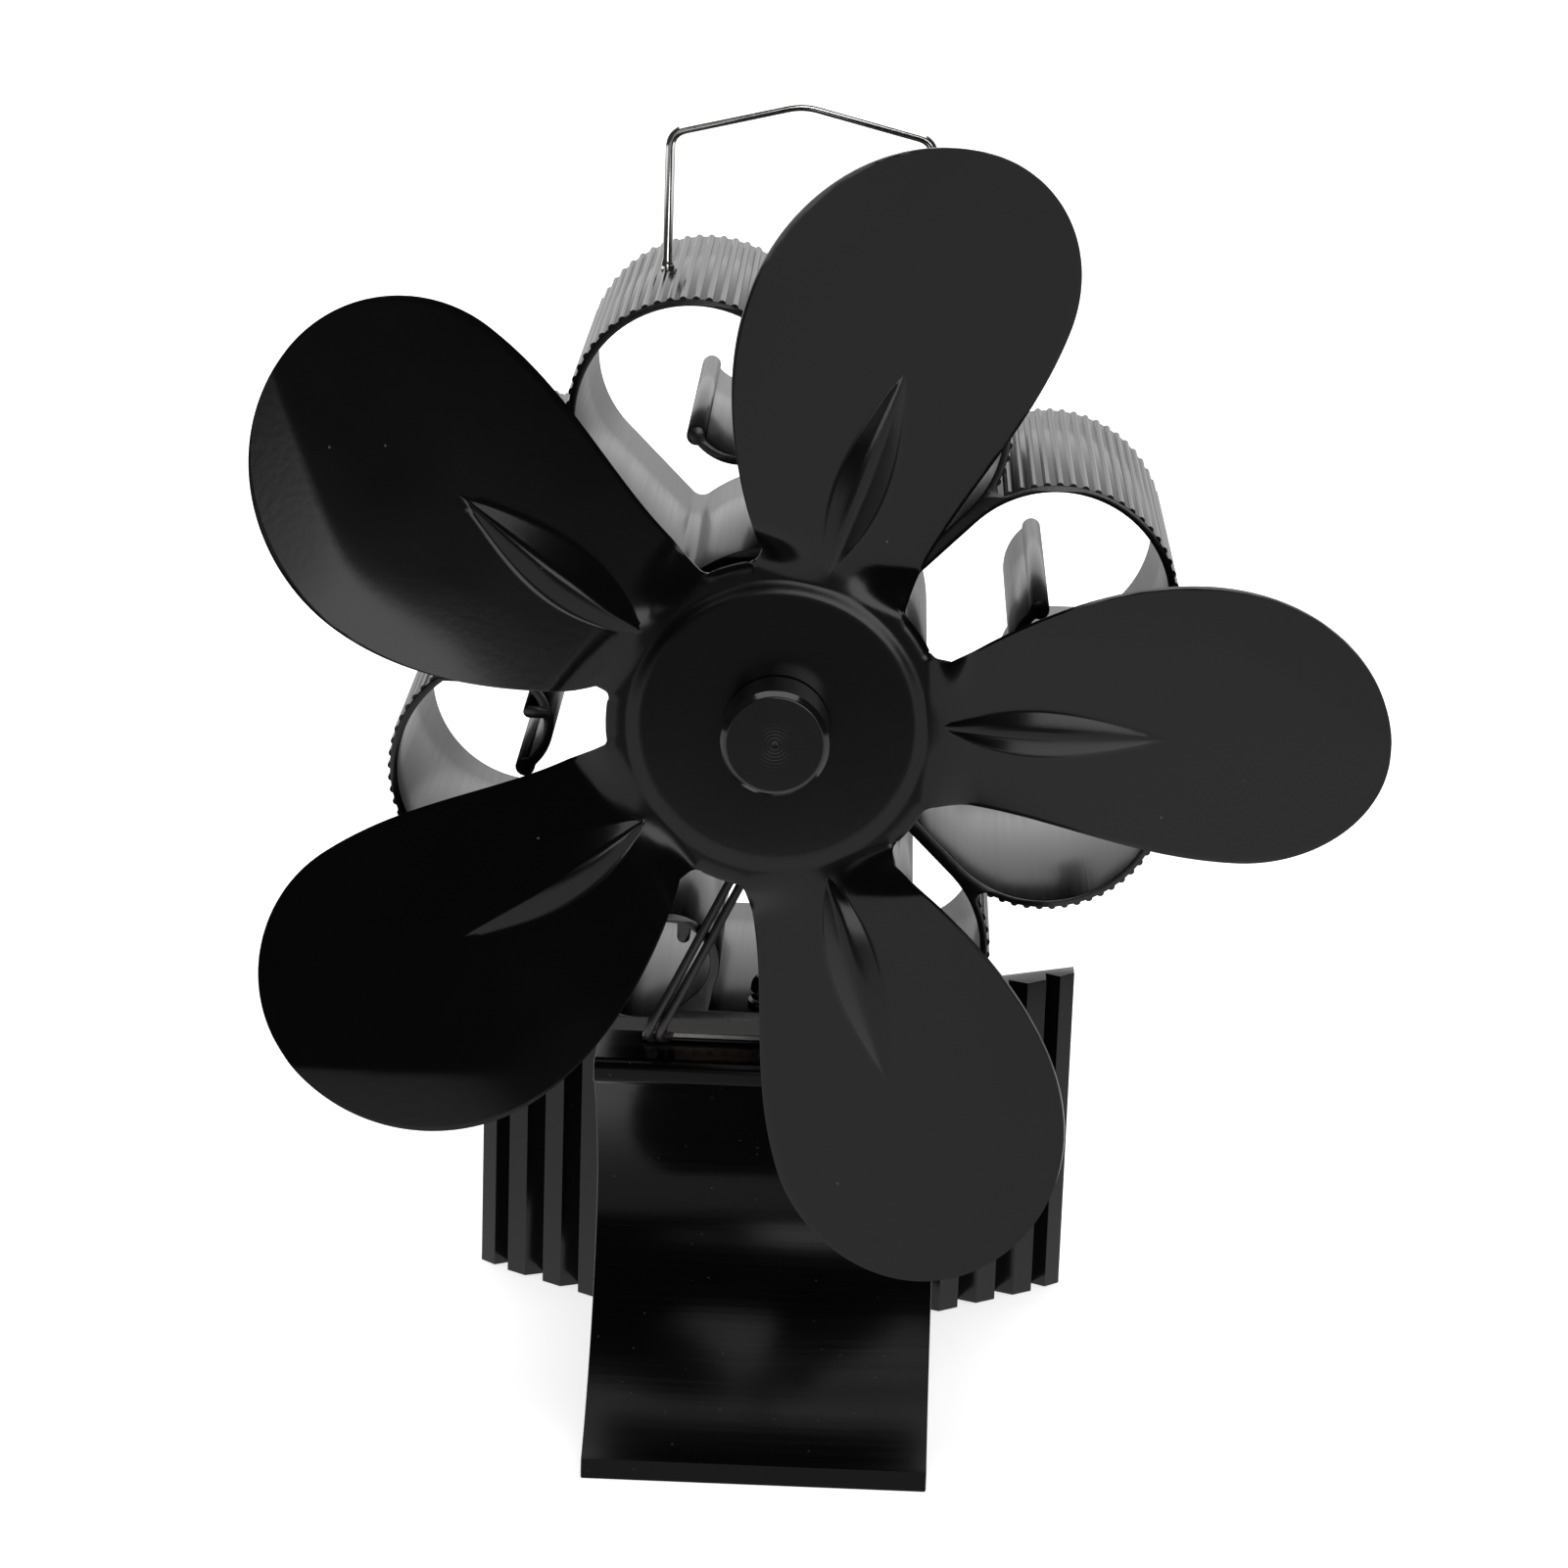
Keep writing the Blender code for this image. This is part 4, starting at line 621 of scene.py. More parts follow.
def grown(mesh, tree, finish, **values):
    """The mesh that the tree makes of the given one, with its inputs set by their identifiers."""
    holder = shown("grown", mesh)
    modifier = holder.modifiers.new(tree.name, "NODES")
    modifier.node_group = tree
    values["Material"] = finish
    for item in tree.interface.items_tree:
        if item.in_out == "INPUT" and item.name in values:
            modifier[item.identifier] = values[item.name]
    return meshed(holder)


# %% The rib tree
tree, given = new_tree("ribs along arcs", {"Pitch": "Float", "Radius": "Float", "Length": "Float"})
paths = put(tree, "GeometryNodeMeshToCurve", {"Mesh": given["Geometry"]})
spread = put(tree, "GeometryNodeResampleCurve", {"Curve": paths, "Length": given["Pitch"]}, mode="LENGTH")
spots = put(tree, "GeometryNodeCurveToPoints", {"Curve": spread}, mode="EVALUATED")
sizes = {"Vertices": 10, "Radius": given["Radius"], "Depth": given["Length"]}
close_tree(tree, given, spots, put(tree, "GeometryNodeMeshCylinder", sizes), (math.pi / 2, 0, 0))

# %% Grow the ribs and join them to the cooler
RIB_RADIUS, RIB_STAND, RIB_PITCH = 0.62, 0.38, 1.9
arcs = []
for quarter in range(4):
    last = plate_angle - 2 if quarter == 2 else cusp - 3
    for side in (1, -1):
        half = arc(LOBE, LOBE_OUTER + RIB_STAND - RIB_RADIUS, lobe_start + 2.5, last, 60)
        arcs.append(turned_outline([(side * x, z) for x, z in half], quarter))
lines = bpy.data.meshes.new("rib_arcs")
corners = [(x * MM, COOLER_DEPTH / 2 * MM, (z + AXIS) * MM) for path in arcs for x, z in path]
edges = [(i, i + 1) for i in range(len(corners) - 1) if (i + 1) % len(arcs[0])]
lines.from_pydata(corners, edges, [])
sizes = {"Pitch": RIB_PITCH * MM, "Radius": RIB_RADIUS * MM, "Length": (COOLER_DEPTH - 0.2) * MM}
ribs = grown(lines, tree, cooler_finish, **sizes)
piece("cooler", cleaned(cooler, added=ribs), cooler_finish, "stand", "heat_sink")

# %% [markdown]
# ## Blade wheel
# The wheel is pressed from one sheet: a hub with a flat raised middle, five blades twisted out of its
# plane, and a pointed rib on each for stiffness. The wide rim of every blade is folded back, which
# catches a soft light. One fifth of the sheet is drawn as a grid over its plane. Geometry Nodes turn it
# five times about the shaft, and then the sheet gets its thickness and a fine rounded edge.

# %% Blade outline
TIP, HUB, ROOT, SHEET, BLADES, FIRST, WHEEL_DEPTH = 90, 25, 11.4, 0.8, 5, -0.6, -21
# Each side of a blade: how far it reaches at its widest, where that is, and how it swells to there.
WIDE, SLIM = (26.4, 61, 0.88), (19.4, 69, 1.7)


def side_edge(along, side):
    """How far a blade reaches across at a distance along its axis."""
    widest, place, swell = side
    if along < place:
        share = max(along - HUB, 0) / (place - HUB)
        return ROOT + (widest - ROOT) * math.sin(share * math.pi / 2) ** swell
    share = (along - place) / (TIP - place)
    return widest * math.sqrt(max(1 - share**2, 0))


def ease(value):
    value = min(max(value, 0), 1)
    return value * value * (3 - 2 * value)


def softened(value, width):
    """The value where it is positive, nothing where it is negative, and a soft bend between."""
    return (value + math.hypot(value, width)) / 2


# %% The pressed sheet's height
PLATEAU, PLATEAU_EDGE, SHOULDER = 0.45, 22.4, 2.4
PITCH, LEAN, TWIST_START, TWIST_LENGTH = 0.379, 0.021, 21.5, 8
FOLD, FOLD_SLOPE, FOLD_KNEE, FOLD_BEND, FOLD_GROWTH = 20.2, 0.62, 63, 0.15, 22
RIB_START, RIB_END, RIB_MIDDLE, RIB_HALF, RIB_HEIGHT = 24.5, 56.5, 1.3, 3.9, 2.1
RIM_DROP, RIM_WIDTH = 0.5, 1.4


def fold_line(along):
    """Where the wide rim is bent back: beside the rim near the hub, and straight to the tip after."""
    return FOLD - FOLD_SLOPE * softened(along - FOLD_KNEE, 5)


def fold_drop(across, along):
    """The fold is crisp towards the tip and softer towards the hub."""
    width = 0.5 + 3.5 * ease((72 - along) / 30)
    outside = softened(across - fold_line(along), width) - width * 0.1
    return FOLD_BEND * max(outside, 0) * ease((along - HUB) / FOLD_GROWTH)


def rib_width(along):
    """Half the width of the pointed rib, nothing beyond its two ends."""
    share = (along - RIB_START) / (RIB_END - RIB_START)
    return RIB_HALF * math.sin(math.pi * share**0.85) if 0 < share < 1 else 0


def rib_rise(across, along):
    """The rib has two flat sides and a ridge."""
    width = rib_width(along)
    if width < 0.05:
        return 0
    share = (across - RIB_MIDDLE) / width
    return RIB_HEIGHT * (width / RIB_HALF) * max(1.02 - math.hypot(share, 0.14), 0)


def sheet_point(across, along, rim_gap=math.inf):
    """The sheet over one point of its plane, in mm: x, y and z about the wheel's centre."""
    forward = PLATEAU * ease((PLATEAU_EDGE - math.hypot(across, along)) / SHOULDER)
    forward += PITCH * across * ease((along - TWIST_START) / TWIST_LENGTH)
    forward += LEAN * max(along - HUB, 0) + rib_rise(across, along) - fold_drop(across, along)
    forward -= RIM_DROP * max(1 - rim_gap / RIM_WIDTH, 0) ** 2
    return (-across, -forward, along)


# %% Columns of one fifth
COLUMNS, GAP_COLUMNS, FILLET_ROWS, NECK_ROWS, BLADE_ROWS = (16, 6, 6, 20, 12), 6, 8, 6, 84
ROOT_FILLET, NECK_END = 1.9, 28
HUB_RADII = [3.5, 7, 11, 15, 18, 19.6, *(20.2 + 0.3 * i for i in range(10)), 23.6, 24.2, 24.6, 24.85]


def columns(slim, wide, along):
    """Places across a row, with columns on the rib's sides and ridge and on the fold."""
    rib = max(rib_width(along), 0.6)
    narrow = min((slim + wide) / 24, 1)
    fold = max(min(fold_line(along), wide * 0.88), wide * 0.5)
    stops = [-slim, *((RIB_MIDDLE + rib * side) * narrow for side in (-1, 0, 1)), fold, wide]
    found = [-slim]
    for start, end, count in zip(stops, stops[1:], COLUMNS):
        found += [start + (end - start) * (i + 1) / count for i in range(count)]
    return found


def foot(turn):
    """The fillet between hub and blade edge: 0 degrees lies on the hub's rim, 90 on the edge."""
    across = ROOT + ROOT_FILLET
    along = math.sqrt((HUB + ROOT_FILLET) ** 2 - across**2)
    rim_angle = math.degrees(math.atan2(-along, -across))
    return polar((across, along), ROOT_FILLET, rim_angle - (180 + rim_angle) * turn / 90)


# %% Rows of the hub
fifth = bmesh.new()
foot_across, foot_along = foot(0)
root = columns(foot_across, foot_across, HUB)
root_angles = [math.asin(across / HUB) for across in root]
half_turn = math.pi / BLADES
before = [-half_turn + (root_angles[0] + half_turn) * i / GAP_COLUMNS for i in range(GAP_COLUMNS)]
edge_angle = root_angles[-1]
after = [edge_angle + (half_turn - edge_angle) * (i + 1) / GAP_COLUMNS for i in range(GAP_COLUMNS)]
rim_angles = before + root_angles + after
rows = []
for radius in [*HUB_RADII, HUB]:
    share = (radius - HUB_RADII[0]) / (HUB - HUB_RADII[0])
    row = []
    for i, rim in enumerate(rim_angles):
        even = -half_turn + 2 * half_turn * i / (len(rim_angles) - 1)
        angle = even + (rim - even) * share
        beside = HUB * max(min(angle - root_angles[0], root_angles[-1] - angle), 0)
        across, along = radius * math.sin(angle), radius * math.cos(angle)
        row.append(fifth.verts.new(sheet_point(across, along, math.hypot(HUB - radius, beside))))
    rows.append(row)
print("hub", len(rows), "rows of", len(rim_angles))

# %% Rows of the blade
blade_rows = [rows[-1][GAP_COLUMNS : GAP_COLUMNS + len(root)]]
for step in range(1, FILLET_ROWS + NECK_ROWS + 1):
    turned_by = min(step / FILLET_ROWS, 1)
    edge, along = foot(90 * turned_by)
    along += (NECK_END - along) * max(step - FILLET_ROWS, 0) / NECK_ROWS
    slim, wide = (side_edge(along, side) if step > FILLET_ROWS else edge for side in (SLIM, WIDE))
    middle = HUB + (NECK_END - HUB) * step / (FILLET_ROWS + NECK_ROWS)
    row = []
    for start, across in zip(root, columns(slim, wide, middle)):
        swell = (math.sqrt(HUB**2 - start**2) - foot_along) / (HUB - foot_along)
        gap = min(across + slim, wide - across) + 2 * turned_by
        row.append(fifth.verts.new(sheet_point(across, along + (middle - along) * swell, gap)))
    blade_rows.append(row)
for step in range(1, BLADE_ROWS):
    along = NECK_END + (TIP - NECK_END) * math.sin(step / BLADE_ROWS * math.pi / 2)
    places = columns(side_edge(along, SLIM), side_edge(along, WIDE), along)
    blade_rows.append([fifth.verts.new(sheet_point(across, along)) for across in places])
print("blade", len(blade_rows), "rows of", len(root))

# %% Faces of one fifth
for strip in (rows, blade_rows):
    for row, next_row in zip(strip, strip[1:]):
        for i in range(len(row) - 1):
            fifth.faces.new((row[i], row[i + 1], next_row[i + 1], next_row[i]))
tip = fifth.verts.new(sheet_point(0, TIP))
for corner, next_corner in zip(blade_rows[-1], blade_rows[-1][1:]):
    fifth.faces.new((corner, next_corner, tip))
fifth_mesh = bpy.data.meshes.new("fifth")
fifth.to_mesh(fifth_mesh)
fifth.free()
moved(fifth_mesh, Matrix.Rotation(math.radians(90 - FIRST), 4, "Y"))
print("one fifth", len(fifth_mesh.polygons), "faces")

# %% Turn it about the shaft
tree, given = new_tree("wheel of blades", {"Blades": "Int", "Merge": "Float"})
dots = put(tree, "GeometryNodePoints", {"Count": given["Blades"]})
index = put(tree, "GeometryNodeInputIndex")
share = put(tree, "ShaderNodeMath", {0: index, 1: given["Blades"]}, operation="DIVIDE")
angle = put(tree, "ShaderNodeMath", {0: share, 1: 2 * math.pi}, operation="MULTIPLY")
spin = put(tree, "ShaderNodeCombineXYZ", {"Y": angle})
close_tree(tree, given, dots, given["Geometry"], spin, given["Merge"])
wheel = cleaned(grown(fifth_mesh, tree, paint.material, Blades=BLADES, Merge=0.02 * MM))

# %% Thickness and edge
holder = shown("wheel", wheel)
solid = holder.modifiers.new("sheet", "SOLIDIFY")
solid.thickness = SHEET * MM
solid.offset = 0
solid.use_even_offset = False
rounded = holder.modifiers.new("edge", "BEVEL")
rounded.width = 0.22 * MM
rounded.segments = 2
rounded.limit_method = "ANGLE"
rounded.angle_limit = math.radians(60)
wheel = meshed(holder)
wheel.transform(Matrix.Translation(Vector((0, WHEEL_DEPTH, AXIS)) * MM))
print("wheel reaches forward to", round(min(v.co.y for v in wheel.vertices) / MM, 2))
piece("blade_wheel", wheel, paint.material, "rotor", "fan_rotor", angle=60)

# %% [markdown]
# ## Turned pieces
# Knob, bush, shaft and the motor's can are lathe work, so each is one profile spun about the axis.
# The profile lists (radius, depth). The Screw modifier spins it and merges the poles.


# %% Lathe
def turned(profile, steps=96):
    """A profile of (radius, y) in mm spun about the axis. One that starts off the axis is closed."""
    count = len(profile)
    edges = [(i, (i + 1) % count) for i in range(count if profile[0][0] else count - 1)]
    mesh = bpy.data.meshes.new("profile")
    mesh.from_pydata([(radius * MM, 0, -y * MM) for radius, y in profile], edges, [])
    holder = shown("profile", mesh)
    screw = holder.modifiers.new("turn", "SCREW")
    screw.steps = steps
    screw.render_steps = steps
    screw.use_merge_vertices = True
    screw.merge_threshold = 2 * NEAR * MM
    made = cleaned(meshed(holder), NEAR * MM)
    made.transform(Matrix.Translation((0, 0, AXIS * MM)) @ FROM_FRONT)
    return made


# %% Knob, bush and shaft
MOTOR_FRONT, MOTOR_BACK, CAP_BACK = 5.8, 30.8, 33.1
SHAFT_FRONT, BUSH_FRONT, BUSH_BACK, BORE = -27.4, -27.4, -11.9, 1.8
KNOB_FRONT, KNOB_RADIUS, KNOB_BORE = -31.1, 7.95, 3.5
sheet_front = WHEEL_DEPTH - PLATEAU - SHEET / 2
knob_back = sheet_front - GAP
face = ((0, 0.12), (0.25, 0.1), (0.4, 0), (0.5, 0), (2.5, 0), (5, 0), (6.9, 0), (7.1, 0), (7.2, 0.03))
face += ((7.3, 0.1), (7.85, 0.6), (KNOB_RADIUS, 0.75), (KNOB_RADIUS, 1))
knob = [(radius, KNOB_FRONT + depth) for radius, depth in face]
knob += [(KNOB_RADIUS, knob_back - 0.4), (7.5, knob_back), (KNOB_BORE, knob_back)]
knob += [(KNOB_BORE, -28), (0, -28)]
piece("knob", turned(knob), knob_finish, "rotor", "hub_knob", angle=25)
flange = WHEEL_DEPTH - PLATEAU + SHEET / 2 + GAP
bush = [(BORE, BUSH_FRONT), (3.1, BUSH_FRONT), (3.2, BUSH_FRONT + 0.1), (3.2, flange)]
bush += [(7.3, flange), (7.4, flange + 0.1), (7.4, flange + 1.9), (7.3, flange + 2), (4.6, flange + 2)]
bush += [(4.6, BUSH_BACK - 0.2), (4.4, BUSH_BACK), (BORE, BUSH_BACK)]
piece("bush", turned(bush, 64), knob_finish, "rotor", "hub_bushing")
shaft = [(0, SHAFT_FRONT), (1.5, SHAFT_FRONT), (1.5, CAP_BACK - 0.2), (1.3, CAP_BACK), (0, CAP_BACK)]
piece("shaft", turned(shaft, 40), shaft_finish, "rotor", "motor_shaft")

# %% [markdown]
# ## Handle
# The handle is a bright steel wire, bent four times and let into the top petals. A curve with a round
# bevel is all it needs, and its ends swell a little where they were crimped.


# %% Wires
def rounded_path(corners, radius, count):
    """The path through the corners, each inner one rounded by about the radius."""
    path = [Vector(corners[0])]
    for before, corner, after in zip(corners, corners[1:], corners[2:]):
        here = Vector(corner)
        start = here + (Vector(before) - here).normalized() * radius
        end = here + (Vector(after) - here).normalized() * radius
        for i in range(count + 1):
            t = i / count
            path.append(start * (1 - t) ** 2 + here * 2 * t * (1 - t) + end * t**2)
    return [*path, Vector(corners[-1])]


def wire(points, radius, resolution, swell=()):
    """A round wire through points in mm. swell lists (point, factor) for thicker places."""
    curve = bpy.data.curves.new("wire", "CURVE")
    curve.dimensions = "3D"
    curve.bevel_depth = radius * MM
    curve.bevel_resolution = resolution
    curve.use_fill_caps = True
    spline = curve.splines.new("POLY")
    spline.points.add(len(points) - 1)
    for slot, point in zip(spline.points, points):
        slot.co = (*(Vector(point) * MM), 1)
    for place, factor in swell:
        spline.points[place].radius = factor
    return meshed(shown("wire", curve))


# %% Handle
SPREAD, HANDLE_Y, HANDLE_BEND, HANDLE_TAIL = 20.1, 28.6, 2.4, 3.2
wall_top = AXIS + LOBE[1] + math.sqrt((LOBE_OUTER - 0.57) ** 2 - (SPREAD - LOBE[0]) ** 2)
shoulder, apex, tail = AXIS + 79.5, AXIS + 84.4, wall_top - HANDLE_TAIL
legs = [(-SPREAD, tail), (-SPREAD, shoulder), (0, apex), (SPREAD, shoulder), (SPREAD, tail)]
path = rounded_path([(x, HANDLE_Y, z) for x, z in legs], HANDLE_BEND, 12)
crimp_heights = [wall_top + lift for lift in (0.6, 0.9, 1.6, 2.4)]
left_foot, right_foot = ([Vector((x, HANDLE_Y, z)) for z in crimp_heights] for x in (-SPREAD, SPREAD))
path = [path[0], *left_foot, *path[1:-1], *reversed(right_foot), path[-1]]
crimps = [(1, 1.35), (2, 1.5), (3, 1.25), (-2, 1.35), (-3, 1.5), (-4, 1.25)]
piece("handle", wire(path, 0.75, 5, crimps), wire_finish, "stand", "carry_handle", angle=50)

# %% [markdown]
# ## Leads
# Two thin sleeved leads climb from the module over the cooler's face and through the ring to the motor.
# They are fixed at both ends. The route's points are those of the model, joined by one smooth curve.


# %% Smooth curve
def smooth(points, steps):
    """Points of a smooth curve through the given ones, its ends kept."""
    found = []
    spots = [Vector(p) for p in points]
    for i in range(len(spots) - 1):
        first, start = spots[max(i - 1, 0)], spots[i]
        end, last = spots[i + 1], spots[min(i + 2, len(spots) - 1)]
        for k in range(steps):
            t = k / steps
            bend = (2 * first - 5 * start + 4 * end - last) * t**2
            bend += (3 * start - first - 3 * end + last) * t**3
            found.append((2 * start + (end - first) * t + bend) / 2)
    return [*found, spots[-1]]


# %% Leads
PELLETS, PASSAGE, TAB_HEIGHT, TAB_Y = 67.35, 107.2, 116.65, 35.5
LEAD_LOW, LEAD_HIGH, LEAD_STAND_OFF = 70.2, 102.5, 2.2
LEAD_SHARES = (0, 0.22, 0.46, 0.68, 0.85, 1)
for name, node, start, across, end in (
    ("lead_a", "lead_negative", 17.6, -3.2, -5),
    ("lead_b", "lead_positive", 15.8, -1.3, 5),
):
    low = Vector((-start - 1, -LEAD_STAND_OFF, LEAD_LOW))
    high = Vector((across, -LEAD_STAND_OFF, LEAD_HIGH))
    points = [(-start, 7.2, PELLETS), (-start, 3.6, PELLETS)]
    points += [low.lerp(high, share) for share in LEAD_SHARES]
    points += [(across, MOTOR_FRONT * share, PASSAGE) for share in (0.1, 1)]
    points += [(across, CAP_BACK * share, PASSAGE) for share in (0.6, 1)]
    points += [((across + end) / 2, TAB_Y, PASSAGE + 1.8), (end, TAB_Y, TAB_HEIGHT - 3.6)]
    points += [(end, TAB_Y, TAB_HEIGHT)]
    piece(name, wire(smooth(points, 10), 0.7, 3), sleeve_finish, "stand", node, angle=60)

# %% [markdown]
# ## Screws
# Button-head screws with a hexagon socket hold the cooler, the rear block and the motor. One screw is
# modelled along z, and a Geometry Nodes tree sets copies of it in a row.


# %% One screw
def button_screw(radius, head_radius, head_height, length):
    """One screw in mm, head up, its underside on z = 0: a domed head, a hexagon socket and a thread."""
    shape = bmesh.new()
    sides, rings, socket, floor = 48, [], head_radius * 0.5, head_height * 0.45

    def ring(reach, height, corner=0.0):
        row = []
        for i in range(sides):
            angle = 2 * math.pi * i / sides
            hexagon = math.cos(math.pi / 6) / math.cos((angle + math.pi / 6) % (math.pi / 3) - math.pi / 6)
            out = reach * (1 + corner * (hexagon - 1))
            row.append(shape.verts.new((out * math.cos(angle), out * math.sin(angle), height)))
        rings.append(row)

    ring(socket * 0.9, floor, 1.0)
    ring(socket, floor + 0.1, 1.0)
    ring(socket, head_height * 0.93, 1.0)
    ring(socket * 1.12, head_height, 0.6)
    for step in range(1, 9):
        angle = math.pi / 2 * step / 8
        out = socket * 1.2 + (head_radius - socket * 1.2) * math.sin(angle)
        ring(out, head_height * (0.12 + 0.88 * math.cos(angle)))
    ring(head_radius, head_height * 0.03)
    ring(head_radius * 0.98, 0)
    ring(radius, 0)
    turns = max(int(length / 0.7), 1)
    for step in range(1, turns):
        ring(radius * (1.0 if step % 2 else 0.9), -length * step / turns)
    ring(radius * 0.95, -length)
    for row, next_row in zip(rings, rings[1:]):
        for i in range(sides):
            shape.faces.new((row[i], row[i - 1], next_row[i - 1], next_row[i]))
    shape.faces.new(rings[0])
    shape.faces.new(rings[-1][::-1])
    return moved(written(shape, bpy.data.meshes.new("screw")), FROM_ABOVE)


# %% Screw tree
inputs = {"Count": "Int", "First": "Vector", "Step": "Vector", "Turn": "Vector"}
screw_tree, given = new_tree("row of screws", inputs)
sizes = {"Count": given["Count"], "Start Location": given["First"], "Offset": given["Step"]}
row_points = put(screw_tree, "GeometryNodeMeshLine", sizes)
close_tree(screw_tree, given, row_points, given["Geometry"], given["Turn"])


def screws(name, sizes, first, step, turn, finish, *nodes):
    """Two equal screws, the second one step from the first."""
    row = {"First": [v * MM for v in first], "Step": [v * MM for v in step], "Turn": turn}
    mesh = grown(button_screw(*sizes), screw_tree, finish, Count=2, **row)
    piece(name, mesh, finish, "stand", *nodes, angle=30)


# %% Screws
WASHER, LOCK_WASHER, BOLT_FRONT, BOLT_REAR = 0.6, 0.9, 3.9, 51.1
washer_level = PLATE_TOP + GAP
bolt_seat = washer_level + WASHER + GAP + LOCK_WASHER + GAP
quarter_turn = math.pi / 2
screws(
    "clamp_bolts", (1.5, 3.2, 2.4, 13.5), (0, BOLT_FRONT, bolt_seat), (0, BOLT_REAR - BOLT_FRONT, 0),
    (0, 0, 0), screw_finish, "clamp_bolt_front", "clamp_bolt_rear",
)
screws(
    "block_screws", (2, 3.6, 2.2, 8.2), (-14, 59.6, 30), (28, 0, 0),
    (-quarter_turn, 0, 0), screw_finish, "fin_block_screw_left", "fin_block_screw_right",
)
MOTOR_SCREW_X = 8.5
screws(
    "motor_screws", (1.25, 2.3, 1.3, 3.2), (-MOTOR_SCREW_X, 3.7, AXIS), (2 * MOTOR_SCREW_X, 0, 0),
    (quarter_turn, 0, 0), plated_finish, "motor_screw_left", "motor_screw_right",
)

# %% [markdown]
# ## Washers
# A flat washer spreads each bolt's load, and a split one above it keeps the bolt tight while the metal
# swells with heat. The split washer is wound: its two ends stand a little apart in height.

# %% Washers
SPLIT, LIFT = 7, 0.2
flat_rings = [circle((0, 0), 3.6, 64), arc((0, 0), BORE, 360, 0, 64)[:-1]]
split_ring = arc((0, 0), 3.1, SPLIT, 360 - SPLIT, 64) + arc((0, 0), BORE, 360 - SPLIT, SPLIT, 64)
for end, depth in (("front", BOLT_FRONT), ("rear", BOLT_REAR)):
    flat = moved(extruded(flat_rings, WASHER, 0.1), FROM_ABOVE, 0, depth, washer_level + WASHER / 2)
    piece(f"flat_washer_{end}", flat, screw_finish, "stand", f"clamp_washer_{end}")
    spring = extruded([split_ring], 0.7, 0.08)
    for vertex in spring.vertices:
        share = (math.atan2(vertex.co.y, vertex.co.x) / (2 * math.pi)) % 1
        vertex.co.z += LIFT * (share - 0.5)
    moved(spring, FROM_ABOVE, 0, depth, washer_level + WASHER + GAP + LOCK_WASHER / 2)
    piece(f"spring_washer_{end}", spring, screw_finish, "stand", f"clamp_lock_washer_{end}")

# %% [markdown]
# ## Thermoelectric module
# Between stand and cooler lie two graphite pads, two ceramic plates and a grid of small pellets that
# turn heat into current. The grid repeats, so Geometry Nodes lay the pellets out on a plane.

# %% Plates and pads
PAD, CERAMIC, PELLET, SIDE = 0.25, 0.6, 0.8, 40
middle, half = STAND_DEPTH / 2, SIDE / 2
square = [(-half, -half), (half, -half), (half, half), (-half, half)]
level = STAND_HEIGHT + GAP
for name, thickness, finish, node in (
    ("pad_lower", PAD, graphite_finish, "thermal_pad_lower"),
    ("plate_hot", CERAMIC, ceramic_finish, "module_hot_plate"),
    ("", PELLET, None, ""),
    ("plate_cold", CERAMIC, ceramic_finish, "module_cold_plate"),
    ("pad_upper", PAD, graphite_finish, "thermal_pad_upper"),
):
    layer_middle = level + thickness / 2
    if name:
        plate = moved(extruded([square], thickness, 0.05), FROM_ABOVE, 0, middle, layer_middle)
        piece(name, plate, finish, "stand", node)
    else:
        pellet_middle = layer_middle
    level += thickness + GAP
print("module from", STAND_HEIGHT, "to", round(level, 2))

# %% Pellets
inputs = {"Side": "Float", "Count": "Int", "Pellet": "Vector", "Middle": "Vector"}
tree, given = new_tree("pellet grid", inputs)
sizes = {"Size X": given["Side"], "Size Y": given["Side"]}
counts = {"Vertices X": given["Count"], "Vertices Y": given["Count"]}
grid = put(tree, "GeometryNodeMeshGrid", {**sizes, **counts})
laid = put(tree, "GeometryNodeSetPosition", {"Geometry": grid, "Offset": given["Middle"]})
close_tree(tree, given, laid, put(tree, "GeometryNodeMeshCube", {"Size": given["Pellet"]}))
cuboid = (1.5 * MM, 1.5 * MM, PELLET * MM)
place = (0, middle * MM, pellet_middle * MM)
seed = bpy.data.meshes.new("seed")
pellets = grown(seed, tree, copper_finish, Side=36.4 * MM, Count=16, Pellet=cuboid, Middle=place)
piece("pellets", pellets, copper_finish, "stand", "module_pellets")

# %% [markdown]
# ## Motor
# A small direct-current motor sits in the ring: a strap across the bore carries its drawn can, which
# holds two curved magnets and two bronze bearings, closed by a nylon cap with brushes and tabs.

# %% Strap, can and cap
CAN_RADIUS, CAN_BORE, BOSS_RADIUS, BOSS_BORE, BOSS_FRONT = 15.8, 14.9, 3.6, 3.3, 3.4
strap_radius = RING_INNER - GAP
corner = math.degrees(math.asin(7 / strap_radius))
outline = arc((0, 0), strap_radius, -corner, corner, 20)
outline += arc((0, 0), strap_radius, 180 - corner, 180 + corner, 20)
holes = [circle((0, 0), 3.9, 48), *(circle((x, 0), 1.55, 24) for x in (-MOTOR_SCREW_X, MOTOR_SCREW_X))]
piece("strap", about_axis([outline, *holes], 1.5, 0.15, 4.75), screw_finish, "stand", "motor_strap")
can = [(BOSS_BORE, BOSS_FRONT), (BOSS_RADIUS - 0.1, BOSS_FRONT), (BOSS_RADIUS, BOSS_FRONT + 0.1)]
can += [(BOSS_RADIUS, MOTOR_FRONT), (14.4, MOTOR_FRONT), (15.2, 6), (15.65, 6.5), (CAN_RADIUS, 7.2)]
can += [(CAN_RADIUS, MOTOR_BACK), (CAN_BORE, MOTOR_BACK), (CAN_BORE, 6.7), (BOSS_BORE, 6.7)]
